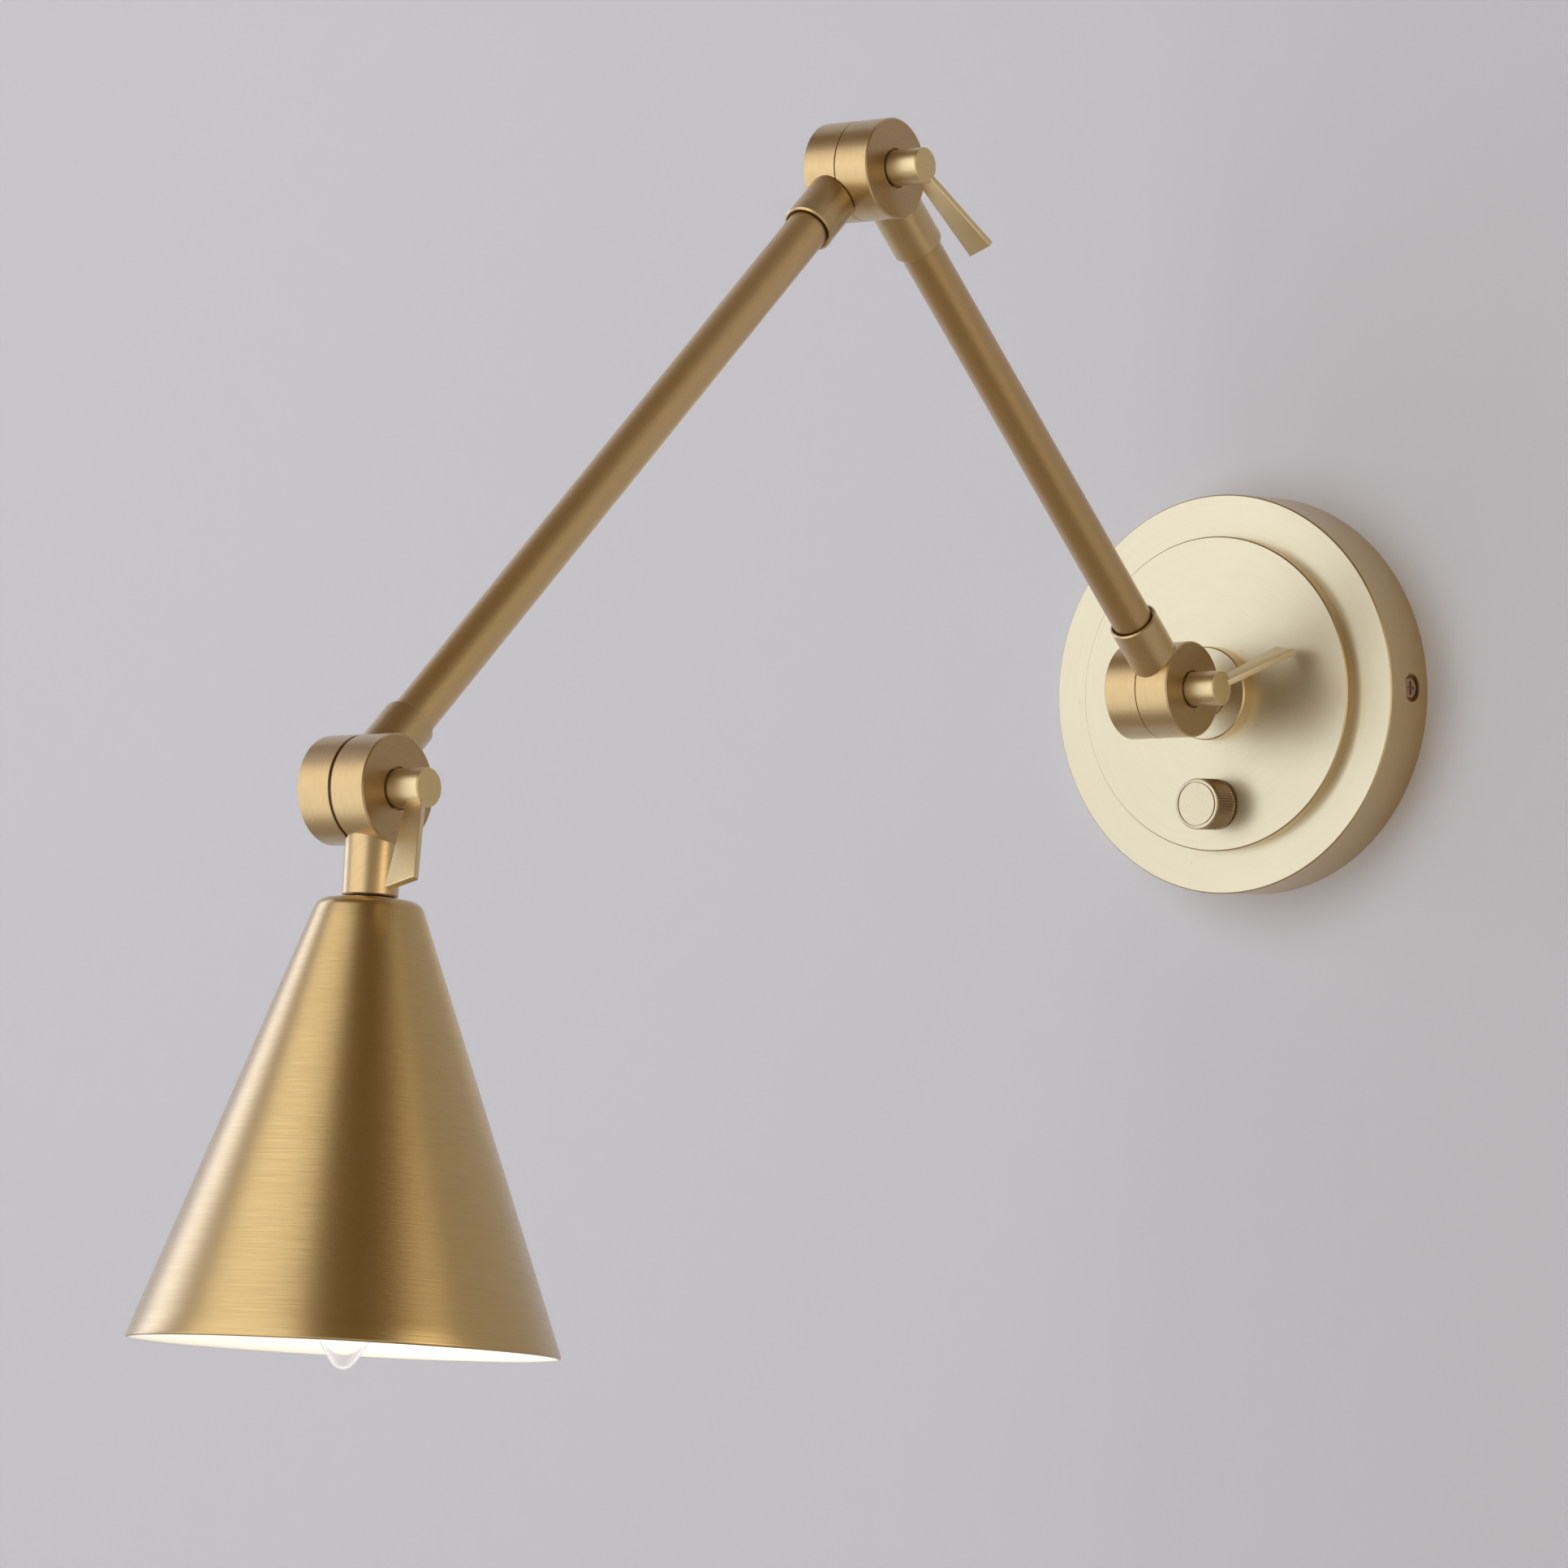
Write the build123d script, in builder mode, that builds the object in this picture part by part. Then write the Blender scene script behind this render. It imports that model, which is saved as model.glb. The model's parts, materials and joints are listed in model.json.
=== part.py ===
"""Articulating wall lamp in satin brass: round backplate, two tube arms, three friction knuckles
with clamp levers, and a spun cone shade over a clear candle bulb. Millimetres, +Z up, -Y out of
the wall, origin in the middle of the backplate's back face."""

import os
from math import atan2, cos, degrees, radians, sin, tan

from build123d import *

# ---------------------------------------------------------------- fits and finishing cuts
running_fit = 0.05          # radial, shafts and screws that turn in a bore
seat_gap = 0.05             # between flat faces that bear on each other
slip_fit = 0.1              # radial, tubes and screws pushed into a plain hole
edge_break = 0.4            # small chamfer on turned edges

# ---------------------------------------------------------------- backplate
plate_d = 127.0             # five inches
plate_depth = 21.0
plate_wall = 1.5
plate_break = 0.4
plateau_d = 100.0
plateau_h = 4.5

# ---------------------------------------------------------------- mounting strap and its screws
strap_w = 20.0
strap_t = 2.0
ear_depth = 15.0            # how far the bent ends reach out from the wall
box_spacing_small = 69.85   # screw spacing of a small round junction box
box_spacing_large = 88.9    # screw spacing of a four inch octagonal box
box_screw_hole = 4.4
ground_screw_x = 15.0
ground_screw_d = 3.5
ground_head_d = 8.0
ground_head_t = 2.0

side_screw_y = 9.0          # how far the side screws stand out from the wall
side_screw_d = 4.0
side_head_d = 7.0
side_head_t = 1.8
side_screw_length = 6.5
dimple_d = 8.9              # recess that the screw head sits in
dimple_floor_t = 1.2
dimple_depth = 2.5          # from the rim's outside to the recess floor
dimple_pad_d = 12.0
drive_slot_l = 4.2          # cross recess in the screw heads
drive_slot_w = 0.9
drive_slot_t = 1.0

# ---------------------------------------------------------------- hub on the plate, and its swivel
hub_d = 29.6
hub_t = 5.3
hub_gap = 0.1               # between the hub and the collar that turns on it
spigot_d = 10.0
spigot_length = 19.0
spigot_bore = 6.5
swivel_washer_d = 20.0
swivel_washer_t = 1.0
swivel_nut_af = 14.0
swivel_nut_t = 4.0

# ---------------------------------------------------------------- knuckles
knuckle_d = 30.0
half_width = 11.6           # along the pivot axis, each half
seam_gap = 0.2
seam_break = 0.15           # chamfer at the seam, which keeps it a hairline
head_seam_gap = 1.0         # the head's clamp is slack, and its seam shows dark
stub_d = 15.4               # collar that stands out of each half
stub_inset = 0.1            # how far the collar lies inside the half's outer face
stub_reach = 30.0           # from the pivot axis to the collar's mouth
neighbour_relief = 0.35     # collar's clearance round the other half
wire_groove_inner = 5.5
wire_groove_outer = 9.8
wire_groove_depth = 5.0
wire_hole_d = 5.0
washer_inner = 10.4
washer_outer = 14.4

# ---------------------------------------------------------------- clamp screws and levers
clamp_screw_d = 6.0
clamp_screw_depth = 9.0     # into the threaded half
clamp_hole_spare = 0.5
lever_hole_depth = 6.5
barrel_d = 10.8
barrel_length = 12.3
barrel_pocket_d = 12.0
barrel_pocket_depth = 1.5
blade_t = 2.0
blade_root_r = 4.0
blade_root_w = 5.4
blade_tip_r = 31.6
blade_tip_w = 9.4
blade_splay = 7.6           # how much further out the tip's middle stands than the root's
blade_end_cut = 20.0        # degrees
wall_lever_angle = 22.9     # degrees up from the direction towards the wall
elbow_lever_angle = -48.8
head_lever_angle = -124.5

# ---------------------------------------------------------------- arms
tube_d = 12.7               # half an inch
tube_wall = 1.2
tube_seat_r = 18.0          # from the pivot axis to the tube's end
lip_bore_d = 14.0           # wider mouth of the collar, which leaves a dark ring round the tube
lip_depth = 2.5
lower_arm_length = 215.0    # between pivot axes
upper_arm_length = 298.3
lower_arm_rise = 44.4       # degrees above straight out
upper_arm_rise = -38.9

# ---------------------------------------------------------------- shade
shade_tilt = 6.2            # degrees off plumb, mouth away from the wall
stem_reach = 29.3
gasket_d = 13.4
gasket_t = 0.8
shade_wall = 1.2
shade_height = 121.2
shade_mouth_d = 117.6
shade_slope = 20.3          # degrees, half the cone's angle
shade_shoulder = 4.0        # radius of the shoulder
nipple_d = 10.0
nipple_bore = 6.5
nipple_in_stem = 8.0
nipple_in_socket = 6.0
locknut_af = 15.0
locknut_t = 3.0

# ---------------------------------------------------------------- lampholder and bulb
socket_d = 23.0
socket_length = 39.0
socket_bore_depth = 16.0
screw_shell_wall = 0.45
contact_d = 5.0
contact_t = 1.4
cap_d = 11.9                # screw cap of a candle bulb
cap_length = 17.0
cap_wall = 0.4
tip_contact_d = 6.0
tip_contact_t = 1.8
bulb_d = 35.0
bulb_length = 98.0          # from the contact to the tip
neck_d = 10.6
bulb_wall = 0.7
bulb_tip_r = 2.4            # rounding of the drawn tip
widest_at = 52.0            # from the contact to the widest place
filament_d = 0.6
filament_span = 9.0
filament_at = 58.0
mount_d = 4.0
mount_length = 26.0

# ---------------------------------------------------------------- dimmer
knob_inset = 14.9           # from the plateau's edge in to the knob's axis
knob_d = 16.1
knob_height = 10.6
knob_gap = 0.5
knob_groove_d = 13.7        # ring cut in the knob's face
knob_groove_w = 0.6
knob_groove_depth = 0.4
knob_break = 0.5
knurl_count = 40
knurl_depth = 0.35
knurl_land = 1.2            # plain band at each end of the knurl
nut_well_d = 13.0
nut_well_depth = 3.6
shaft_d = 6.0
shaft_flat = 1.2
shaft_in_knob = 5.0
shaft_in_body = 6.0
grub_screw_d = 3.0
dimmer_w = 26.0
dimmer_h = 22.0
dimmer_t = 13.0
bushing_d = 7.6
bushing_length = 5.0
dimmer_nut_af = 10.0
dimmer_nut_t = 2.0

# ---------------------------------------------------------------- places worked out from the above
plateau_front = plate_depth + plateau_h
knob_z = knob_inset - plateau_d / 2
plate_inside = plateau_front - plate_wall
hub_front = plateau_front + hub_t
wall_reach = hub_front + hub_gap + stub_reach
stub_offset = half_width + seam_gap / 2 - stub_d / 2 - stub_inset
seam_x = stub_offset
right_stub_x = 2 * stub_offset
right_face_x = seam_x + seam_gap / 2 + half_width
barrel_start_x = right_face_x - barrel_pocket_depth + seat_gap
barrel_end_x = barrel_start_x + barrel_length

x_dir = Vector(1, 0, 0)


def heading(rise):
    """Unit direction in the plane of the arms, so many degrees above straight out of the wall."""
    return Vector(0, -cos(radians(rise)), sin(radians(rise)))


def line_plane(pivot, direction, offset_x):
    """Plane square to a collar or tube, with its origin level with the pivot."""
    return Plane(origin=pivot + x_dir * offset_x, x_dir=x_dir, z_dir=direction)


def section_plane(pivot, direction, offset_x):
    """Plane along a collar: local x is the radius and local y runs along the direction."""
    return Plane(origin=pivot + x_dir * offset_x, x_dir=x_dir, z_dir=x_dir.cross(direction))


wall_pivot = Vector(0, -wall_reach, 0)
elbow_pivot = wall_pivot + heading(lower_arm_rise) * lower_arm_length
head_pivot = elbow_pivot + heading(upper_arm_rise) * upper_arm_length

to_wall = Vector(0, 1, 0)
lower_out = heading(lower_arm_rise)
upper_out = heading(upper_arm_rise)
shade_down = heading(shade_tilt - 90)

os.makedirs("parts", exist_ok=True)


def save(built, name):
    built.part.label = name
    export_step(built.part, f"parts/{name}.step")


# ================================================================ backplate
# A spun brass canopy, open at the back, with a raised disc in front and a dimple at each side
# for the screws that hold it to the strap.
with BuildPart() as backplate:
    with BuildSketch(Plane.XY):
        with BuildLine():
            Polyline(
                (plate_d / 2, 0),
                (plate_d / 2, -plate_depth),
                (plateau_d / 2, -plate_depth),
                (plateau_d / 2, -plateau_front),
                (0, -plateau_front),
                (0, -plate_inside),
                (plateau_d / 2 - plate_wall, -plate_inside),
                (plateau_d / 2 - plate_wall, plate_wall - plate_depth),
                (plate_d / 2 - plate_wall, plate_wall - plate_depth),
                (plate_d / 2 - plate_wall, 0),
                close=True,
            )
        make_face()
    revolve(axis=Axis.Y)
    turned = backplate.edges().filter_by(GeomType.CIRCLE)
    rim_edge = turned.filter_by(lambda e: abs(e.radius - plate_d / 2) < edge_break).sort_by(Axis.Y)[0]
    plateau_edge = turned.filter_by(lambda e: abs(e.radius - plateau_d / 2) < edge_break).sort_by(Axis.Y)[0]
    chamfer([rim_edge, plateau_edge], plate_break)
    dimple_floor_x = plate_d / 2 - dimple_depth
    pad_x = dimple_floor_x - dimple_floor_t
    for side in (-1, 1):
        pad_plane = Plane(origin=(side * pad_x, -side_screw_y, 0), x_dir=(0, 1, 0), z_dir=(side, 0, 0))
        with BuildSketch(pad_plane):
            Circle(dimple_pad_d / 2)
        extrude(amount=plate_d / 2 - plate_wall / 2 - pad_x)
        with BuildSketch(pad_plane.offset(dimple_floor_t)):
            Circle(dimple_d / 2)
        extrude(amount=dimple_depth + plate_wall, mode=Mode.SUBTRACT)
        with BuildSketch(pad_plane):
            Circle(side_screw_d / 2 + slip_fit)
        extrude(amount=dimple_floor_t, mode=Mode.SUBTRACT)
    with BuildSketch(Plane.XZ.offset(plate_inside)):
        Circle(spigot_d / 2 + slip_fit)
        with Locations((0, knob_z)):
            Circle(bushing_d / 2 + slip_fit)
    extrude(amount=plate_wall, mode=Mode.SUBTRACT)
save(backplate, "backplate")

# ================================================================ mounting strap
# A steel bar that screws to the junction box; its bent ends take the side screws.
ear_x = pad_x - seat_gap
with BuildPart() as mounting_strap:
    with BuildSketch(Plane.XZ):
        Rectangle(2 * ear_x, strap_w)
    extrude(amount=strap_t)
    for side in (-1, 1):
        with BuildSketch(Plane.XZ.offset(strap_t)):
            with Locations((side * (ear_x - strap_t / 2), 0)):
                Rectangle(strap_t, strap_w)
        extrude(amount=ear_depth - strap_t)
    ear_corners = mounting_strap.edges().filter_by(Axis.X).group_by(Axis.Y)[0]
    fillet(ear_corners, strap_w / 5)
    slot_spacing = (box_spacing_small + box_spacing_large) / 2
    slot_length = (box_spacing_large - box_spacing_small) / 2 + box_screw_hole
    with BuildSketch(Plane.XZ):
        with GridLocations(slot_spacing, 0, 2, 1):
            SlotOverall(slot_length, box_screw_hole)
        with Locations((ground_screw_x, 0)):
            Circle(ground_screw_d / 2 + slip_fit)
    extrude(amount=strap_t, mode=Mode.SUBTRACT)
    for side in (-1, 1):
        ear_plane = Plane(origin=(side * ear_x, -side_screw_y, 0), x_dir=(0, 1, 0), z_dir=(-side, 0, 0))
        with BuildSketch(ear_plane):
            Circle(side_screw_d / 2 + slip_fit)
        extrude(amount=strap_t, mode=Mode.SUBTRACT)
save(mounting_strap, "mounting_strap")

# ================================================================ side screws
# Two cross-recessed screws, one through each dimple into the strap's ear.
with BuildPart() as canopy_side_screws:
    for side in (-1, 1):
        head_plane = Plane(
            origin=(side * (dimple_floor_x + seat_gap), -side_screw_y, 0), x_dir=(0, 1, 0), z_dir=(side, 0, 0)
        )
        with BuildSketch(head_plane):
            Circle(side_head_d / 2)
        extrude(amount=side_head_t)
        head_top = canopy_side_screws.faces().sort_by(Axis.X)[-1 if side > 0 else 0]
        chamfer(head_top.edges(), edge_break)
        with BuildSketch(head_plane):
            Circle(side_screw_d / 2)
        extrude(amount=-side_screw_length)
        with BuildSketch(head_plane.offset(side_head_t - drive_slot_t)):
            Rectangle(drive_slot_l, drive_slot_w)
            Rectangle(drive_slot_w, drive_slot_l)
        extrude(amount=drive_slot_t, mode=Mode.SUBTRACT)
save(canopy_side_screws, "canopy_side_screws")

# ================================================================ ground screw
# The green hexagon screw for the earth wire, in the strap.
with BuildPart() as ground_screw:
    with BuildSketch(Plane.XZ.offset(strap_t + seat_gap)):
        with Locations((ground_screw_x, 0)):
            RegularPolygon(ground_head_d / 2, 6, major_radius=False)
    extrude(amount=ground_head_t)
    with BuildSketch(Plane.XZ.offset(strap_t + seat_gap)):
        with Locations((ground_screw_x, 0)):
            Circle(ground_screw_d / 2)
    extrude(amount=-(strap_t + seat_gap - edge_break))
save(ground_screw, "ground_screw")

# ================================================================ hub
# The round boss in the middle of the plate that the first knuckle turns on.
with BuildPart() as hub_boss:
    with BuildSketch(Plane.XZ.offset(plateau_front)):
        Circle(hub_d / 2)
        Circle(spigot_d / 2 + running_fit, mode=Mode.SUBTRACT)
    extrude(amount=hub_t)
    hub_edge = hub_boss.faces().sort_by(Axis.Y)[0].edges().sort_by(SortBy.RADIUS)[-1]
    chamfer(hub_edge, edge_break)
save(hub_boss, "hub_boss")


def knuckle_half(pivot, side, direction, reach, gap):
    """One half of a friction knuckle: a thick disc on the pivot axis with a round collar that
    overhangs the other half and is relieved round it. side is -1 for the half with the thread
    and +1 for the half under the lever, and gap is the width of the seam between them."""
    mate_origin = pivot + x_dir * (seam_x + side * gap / 2)
    mate_plane = Plane(origin=mate_origin, x_dir=(0, 1, 0), z_dir=(side, 0, 0))
    disc_t = half_width + (seam_gap - gap) / 2
    collar_plane = line_plane(pivot, direction, seam_x + side * stub_offset)
    with BuildPart() as half:
        with BuildSketch(mate_plane):
            Circle(knuckle_d / 2)
        extrude(amount=disc_t)
        mate_face = half.faces().filter_by(Axis.X).sort_by(Axis.X)[0 if side > 0 else -1]
        chamfer(mate_face.edges(), seam_break)
        outer_face = half.faces().filter_by(Axis.X).sort_by(Axis.X)[-1 if side > 0 else 0]
        chamfer(outer_face.edges(), edge_break)
        with BuildSketch(collar_plane):
            Circle(stub_d / 2)
        extrude(amount=reach)
        mouth = half.faces().sort_by(Axis(tuple(pivot), tuple(direction)))[-1]
        chamfer(mouth.edges(), edge_break)
        with BuildSketch(mate_plane):
            Circle(knuckle_d / 2 + neighbour_relief)
        extrude(amount=-half_width - gap, mode=Mode.SUBTRACT)
        with BuildSketch(mate_plane):
            Circle(wire_groove_outer)
            Circle(wire_groove_inner, mode=Mode.SUBTRACT)
        extrude(amount=wire_groove_depth, mode=Mode.SUBTRACT)
        wire_start = (wire_groove_inner + wire_groove_outer) / 2
        with BuildSketch(collar_plane.offset(wire_start)):
            Circle(wire_hole_d / 2)
        extrude(amount=reach - wire_start, mode=Mode.SUBTRACT)
        if side < 0:
            with BuildSketch(mate_plane):
                Circle(clamp_screw_d / 2 + running_fit)
            extrude(amount=clamp_screw_depth + clamp_hole_spare, mode=Mode.SUBTRACT)
        else:
            with BuildSketch(mate_plane):
                Circle(clamp_screw_d / 2 + running_fit)
            extrude(amount=disc_t, mode=Mode.SUBTRACT)
            with BuildSketch(mate_plane.offset(disc_t - barrel_pocket_depth)):
                Circle(barrel_pocket_d / 2)
            extrude(amount=barrel_pocket_depth, mode=Mode.SUBTRACT)
    return half.part


def tube_socket(pivot, side, direction):
    """The bore of a collar: a seat for the tube's end and a wider mouth round it."""
    collar_plane = line_plane(pivot, direction, seam_x + side * stub_offset)
    with BuildPart() as bore:
        with BuildSketch(collar_plane.offset(tube_seat_r)):
            Circle(tube_d / 2 + slip_fit)
        extrude(amount=stub_reach - tube_seat_r)
        with BuildSketch(collar_plane.offset(stub_reach - lip_depth)):
            Circle(lip_bore_d / 2)
        extrude(amount=lip_depth)
    return bore.part


def friction_washer(pivot, gap):
    """Fibre ring that fills the seam of a knuckle."""
    washer_t = gap - 2 * seat_gap
    ring_origin = pivot + x_dir * (seam_x - washer_t / 2)
    with BuildPart() as ring:
        with BuildSketch(Plane(origin=ring_origin, x_dir=(0, 1, 0), z_dir=(1, 0, 0))):
            Circle(washer_outer)
            Circle(washer_inner, mode=Mode.SUBTRACT)
        extrude(amount=washer_t)
    return ring


# ================================================================ wall knuckle, threaded half
# Its collar stands on the hub, and a hollow threaded spigot goes through the plate.
with BuildPart() as wall_knuckle_base:
    add(knuckle_half(wall_pivot, -1, to_wall, stub_reach, seam_gap))
    spigot_plane = line_plane(wall_pivot, to_wall, 0).offset(stub_reach)
    with BuildSketch(spigot_plane):
        Circle(spigot_d / 2)
    extrude(amount=spigot_length)
    with BuildSketch(line_plane(wall_pivot, to_wall, 0).offset(knuckle_d / 2)):
        Circle(spigot_bore / 2)
    extrude(amount=stub_reach + spigot_length - knuckle_d / 2, mode=Mode.SUBTRACT)
save(wall_knuckle_base, "wall_knuckle_base")

# ================================================================ swivel washer and nut
# They hold the spigot from behind the plate, tight enough for the lamp to stay where it's turned.
with BuildPart() as swivel_washer:
    with BuildSketch(Plane.XZ.offset(plate_inside - seat_gap)):
        Circle(swivel_washer_d / 2)
        Circle(spigot_d / 2 + slip_fit, mode=Mode.SUBTRACT)
    extrude(amount=-swivel_washer_t)
save(swivel_washer, "swivel_washer")

with BuildPart() as swivel_nut:
    with BuildSketch(Plane.XZ.offset(plate_inside - 2 * seat_gap - swivel_washer_t)):
        RegularPolygon(swivel_nut_af / 2, 6, major_radius=False)
        Circle(spigot_d / 2 + slip_fit, mode=Mode.SUBTRACT)
    extrude(amount=-swivel_nut_t)
save(swivel_nut, "swivel_nut")

# ================================================================ lower arm
# The half under the wall lever, the tube, and the half under the elbow lever.
with BuildPart() as wall_knuckle_arm:
    add(knuckle_half(wall_pivot, 1, lower_out, stub_reach, seam_gap))
    add(tube_socket(wall_pivot, 1, lower_out), mode=Mode.SUBTRACT)
save(wall_knuckle_arm, "wall_knuckle_arm")

with BuildPart() as lower_tube:
    with BuildSketch(line_plane(wall_pivot, lower_out, right_stub_x).offset(tube_seat_r + seat_gap)):
        Circle(tube_d / 2)
        Circle(tube_d / 2 - tube_wall, mode=Mode.SUBTRACT)
    extrude(amount=lower_arm_length - 2 * (tube_seat_r + seat_gap))
save(lower_tube, "lower_tube")

with BuildPart() as elbow_knuckle_lower:
    add(knuckle_half(elbow_pivot, 1, -lower_out, stub_reach, seam_gap))
    add(tube_socket(elbow_pivot, 1, -lower_out), mode=Mode.SUBTRACT)
save(elbow_knuckle_lower, "elbow_knuckle_lower")

# ================================================================ upper arm
# The threaded half of the elbow, the longer tube, and the threaded half of the head knuckle.
with BuildPart() as elbow_knuckle_upper:
    add(knuckle_half(elbow_pivot, -1, upper_out, stub_reach, seam_gap))
    add(tube_socket(elbow_pivot, -1, upper_out), mode=Mode.SUBTRACT)
save(elbow_knuckle_upper, "elbow_knuckle_upper")

with BuildPart() as upper_tube:
    with BuildSketch(line_plane(elbow_pivot, upper_out, 0).offset(tube_seat_r + seat_gap)):
        Circle(tube_d / 2)
        Circle(tube_d / 2 - tube_wall, mode=Mode.SUBTRACT)
    extrude(amount=upper_arm_length - 2 * (tube_seat_r + seat_gap))
save(upper_tube, "upper_tube")

with BuildPart() as head_knuckle_arm:
    add(knuckle_half(head_pivot, -1, -upper_out, stub_reach, head_seam_gap))
    add(tube_socket(head_pivot, -1, -upper_out), mode=Mode.SUBTRACT)
save(head_knuckle_arm, "head_knuckle_arm")

# ================================================================ head knuckle, half with the stem
# The stem is bored for the threaded nipple that carries the shade and the lampholder.
with BuildPart() as head_knuckle_stem:
    add(knuckle_half(head_pivot, 1, shade_down, stem_reach, head_seam_gap))
    with BuildSketch(line_plane(head_pivot, shade_down, right_stub_x).offset(stem_reach - nipple_in_stem)):
        Circle(nipple_d / 2 + slip_fit)
    extrude(amount=nipple_in_stem, mode=Mode.SUBTRACT)
save(head_knuckle_stem, "head_knuckle_stem")

# ================================================================ washers, clamp screws and levers
# Each knuckle has a friction ring, a screw on the pivot axis and a lever with a flat splayed blade.
knuckles = (
    ("wall", wall_pivot, wall_lever_angle, seam_gap),
    ("elbow", elbow_pivot, elbow_lever_angle, seam_gap),
    ("head", head_pivot, head_lever_angle, head_seam_gap),
)
for knuckle, pivot, lever_angle, gap in knuckles:
    save(friction_washer(pivot, gap), f"{knuckle}_friction_washer")

    screw_tip_x = seam_x - gap / 2 - clamp_screw_depth
    screw_head_x = barrel_start_x + lever_hole_depth - seat_gap
    with BuildPart() as clamp_screw:
        with BuildSketch(Plane(origin=pivot + x_dir * screw_tip_x, x_dir=(0, 1, 0), z_dir=(1, 0, 0))):
            Circle(clamp_screw_d / 2)
        extrude(amount=screw_head_x - screw_tip_x)
        chamfer(clamp_screw.faces().sort_by(Axis.X)[0].edges(), edge_break)
    save(clamp_screw, f"{knuckle}_clamp_screw")

    radial = Vector(0, cos(radians(lever_angle)), sin(radians(lever_angle)))
    with BuildPart() as lever:
        with BuildSketch(Plane(origin=pivot + x_dir * barrel_start_x, x_dir=(0, 1, 0), z_dir=(1, 0, 0))):
            Circle(barrel_d / 2)
        extrude(amount=barrel_length)
        chamfer(lever.faces().sort_by(Axis.X)[-1].edges(), edge_break)
        root_x = barrel_end_x - blade_root_w / 2 - seat_gap
        tip_x = root_x + blade_splay
        cut_x = cos(radians(blade_end_cut)) * blade_tip_w / 2
        cut_r = sin(radians(blade_end_cut)) * blade_tip_w / 2
        with BuildSketch(section_plane(pivot, radial, 0)):
            with BuildLine():
                Polyline(
                    (root_x - blade_root_w / 2, blade_root_r),
                    (root_x + blade_root_w / 2, blade_root_r),
                    (tip_x + cut_x, blade_tip_r - cut_r),
                    (tip_x - cut_x, blade_tip_r + cut_r),
                    close=True,
                )
            make_face()
        extrude(amount=blade_t / 2, both=True)
        with BuildSketch(Plane(origin=pivot + x_dir * barrel_start_x, x_dir=(0, 1, 0), z_dir=(1, 0, 0))):
            Circle(clamp_screw_d / 2 + running_fit)
        extrude(amount=lever_hole_depth, mode=Mode.SUBTRACT)
    save(lever, f"{knuckle}_lever")

# ================================================================ shade and what holds it
# All of it lies on the stem's axis; distances along it are taken from the head pivot.
stem_plane = line_plane(head_pivot, shade_down, right_stub_x)
stem_section = section_plane(head_pivot, shade_down, right_stub_x)
stem_axis = Axis(tuple(stem_plane.origin), tuple(shade_down))

gasket_top = stem_reach + seat_gap
shade_top = gasket_top + gasket_t + seat_gap
shade_mouth = shade_top + shade_height
top_r = shade_mouth_d / 2 - shade_height * tan(radians(shade_slope))
wall_step = shade_wall / cos(radians(shade_slope))

with BuildPart() as shade_gasket:
    with BuildSketch(stem_plane.offset(gasket_top)):
        Circle(gasket_d / 2)
        Circle(nipple_d / 2 + slip_fit, mode=Mode.SUBTRACT)
    extrude(amount=gasket_t)
save(shade_gasket, "shade_gasket")

# Spun cone with a flat top and a rounded shoulder, open at the mouth.
with BuildPart() as shade:
    with BuildSketch(stem_section):
        with BuildLine():
            Polyline(
                (nipple_d / 2 + slip_fit, shade_top),
                (top_r, shade_top),
                (shade_mouth_d / 2, shade_mouth),
                (shade_mouth_d / 2 - wall_step, shade_mouth),
                (top_r - wall_step + shade_wall * tan(radians(shade_slope)), shade_top + shade_wall),
                (nipple_d / 2 + slip_fit, shade_top + shade_wall),
                close=True,
            )
        make_face()
        outer_corner = vertices().sort_by_distance((top_r, shade_top))[0]
        fillet(outer_corner, shade_shoulder)
        inner_corner = vertices().sort_by_distance((top_r - wall_step, shade_top + shade_wall))[0]
        fillet(inner_corner, shade_shoulder - shade_wall)
    revolve(axis=stem_axis)
save(shade, "shade")

# ================================================================ nipple and locknut
# A hollow threaded tube from the stem through the gasket and the shade into the lampholder.
socket_top = shade_top + shade_wall + 2 * seat_gap + locknut_t
with BuildPart() as shade_nipple:
    with BuildSketch(stem_plane.offset(stem_reach - nipple_in_stem + seat_gap)):
        Circle(nipple_d / 2)
        Circle(nipple_bore / 2, mode=Mode.SUBTRACT)
    extrude(amount=socket_top + nipple_in_socket - stem_reach + nipple_in_stem - 2 * seat_gap)
save(shade_nipple, "shade_nipple")

with BuildPart() as shade_locknut:
    with BuildSketch(stem_plane.offset(shade_top + shade_wall + seat_gap)):
        RegularPolygon(locknut_af / 2, 6, major_radius=False)
        Circle(nipple_d / 2 + slip_fit, mode=Mode.SUBTRACT)
    extrude(amount=locknut_t)
save(shade_locknut, "shade_locknut")

# ================================================================ lampholder
# A moulded cup on the nipple, with a brass screw shell and a spring contact in it.
bulb_foot = socket_top + socket_length - socket_bore_depth + contact_t + seat_gap
shell_inner_r = cap_d / 2 + slip_fit
shell_outer_r = shell_inner_r + screw_shell_wall
socket_floor = socket_top + socket_length - socket_bore_depth
with BuildPart() as socket_body:
    with BuildSketch(stem_plane.offset(socket_top)):
        Circle(socket_d / 2)
    extrude(amount=socket_length)
    chamfer(socket_body.edges().filter_by(GeomType.CIRCLE), 2 * edge_break)
    with BuildSketch(stem_plane.offset(socket_top)):
        Circle(nipple_d / 2 + slip_fit)
    extrude(amount=nipple_in_socket, mode=Mode.SUBTRACT)
    with BuildSketch(stem_plane.offset(socket_floor)):
        Circle(shell_outer_r + seat_gap)
    extrude(amount=socket_bore_depth, mode=Mode.SUBTRACT)
save(socket_body, "socket_body")

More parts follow.
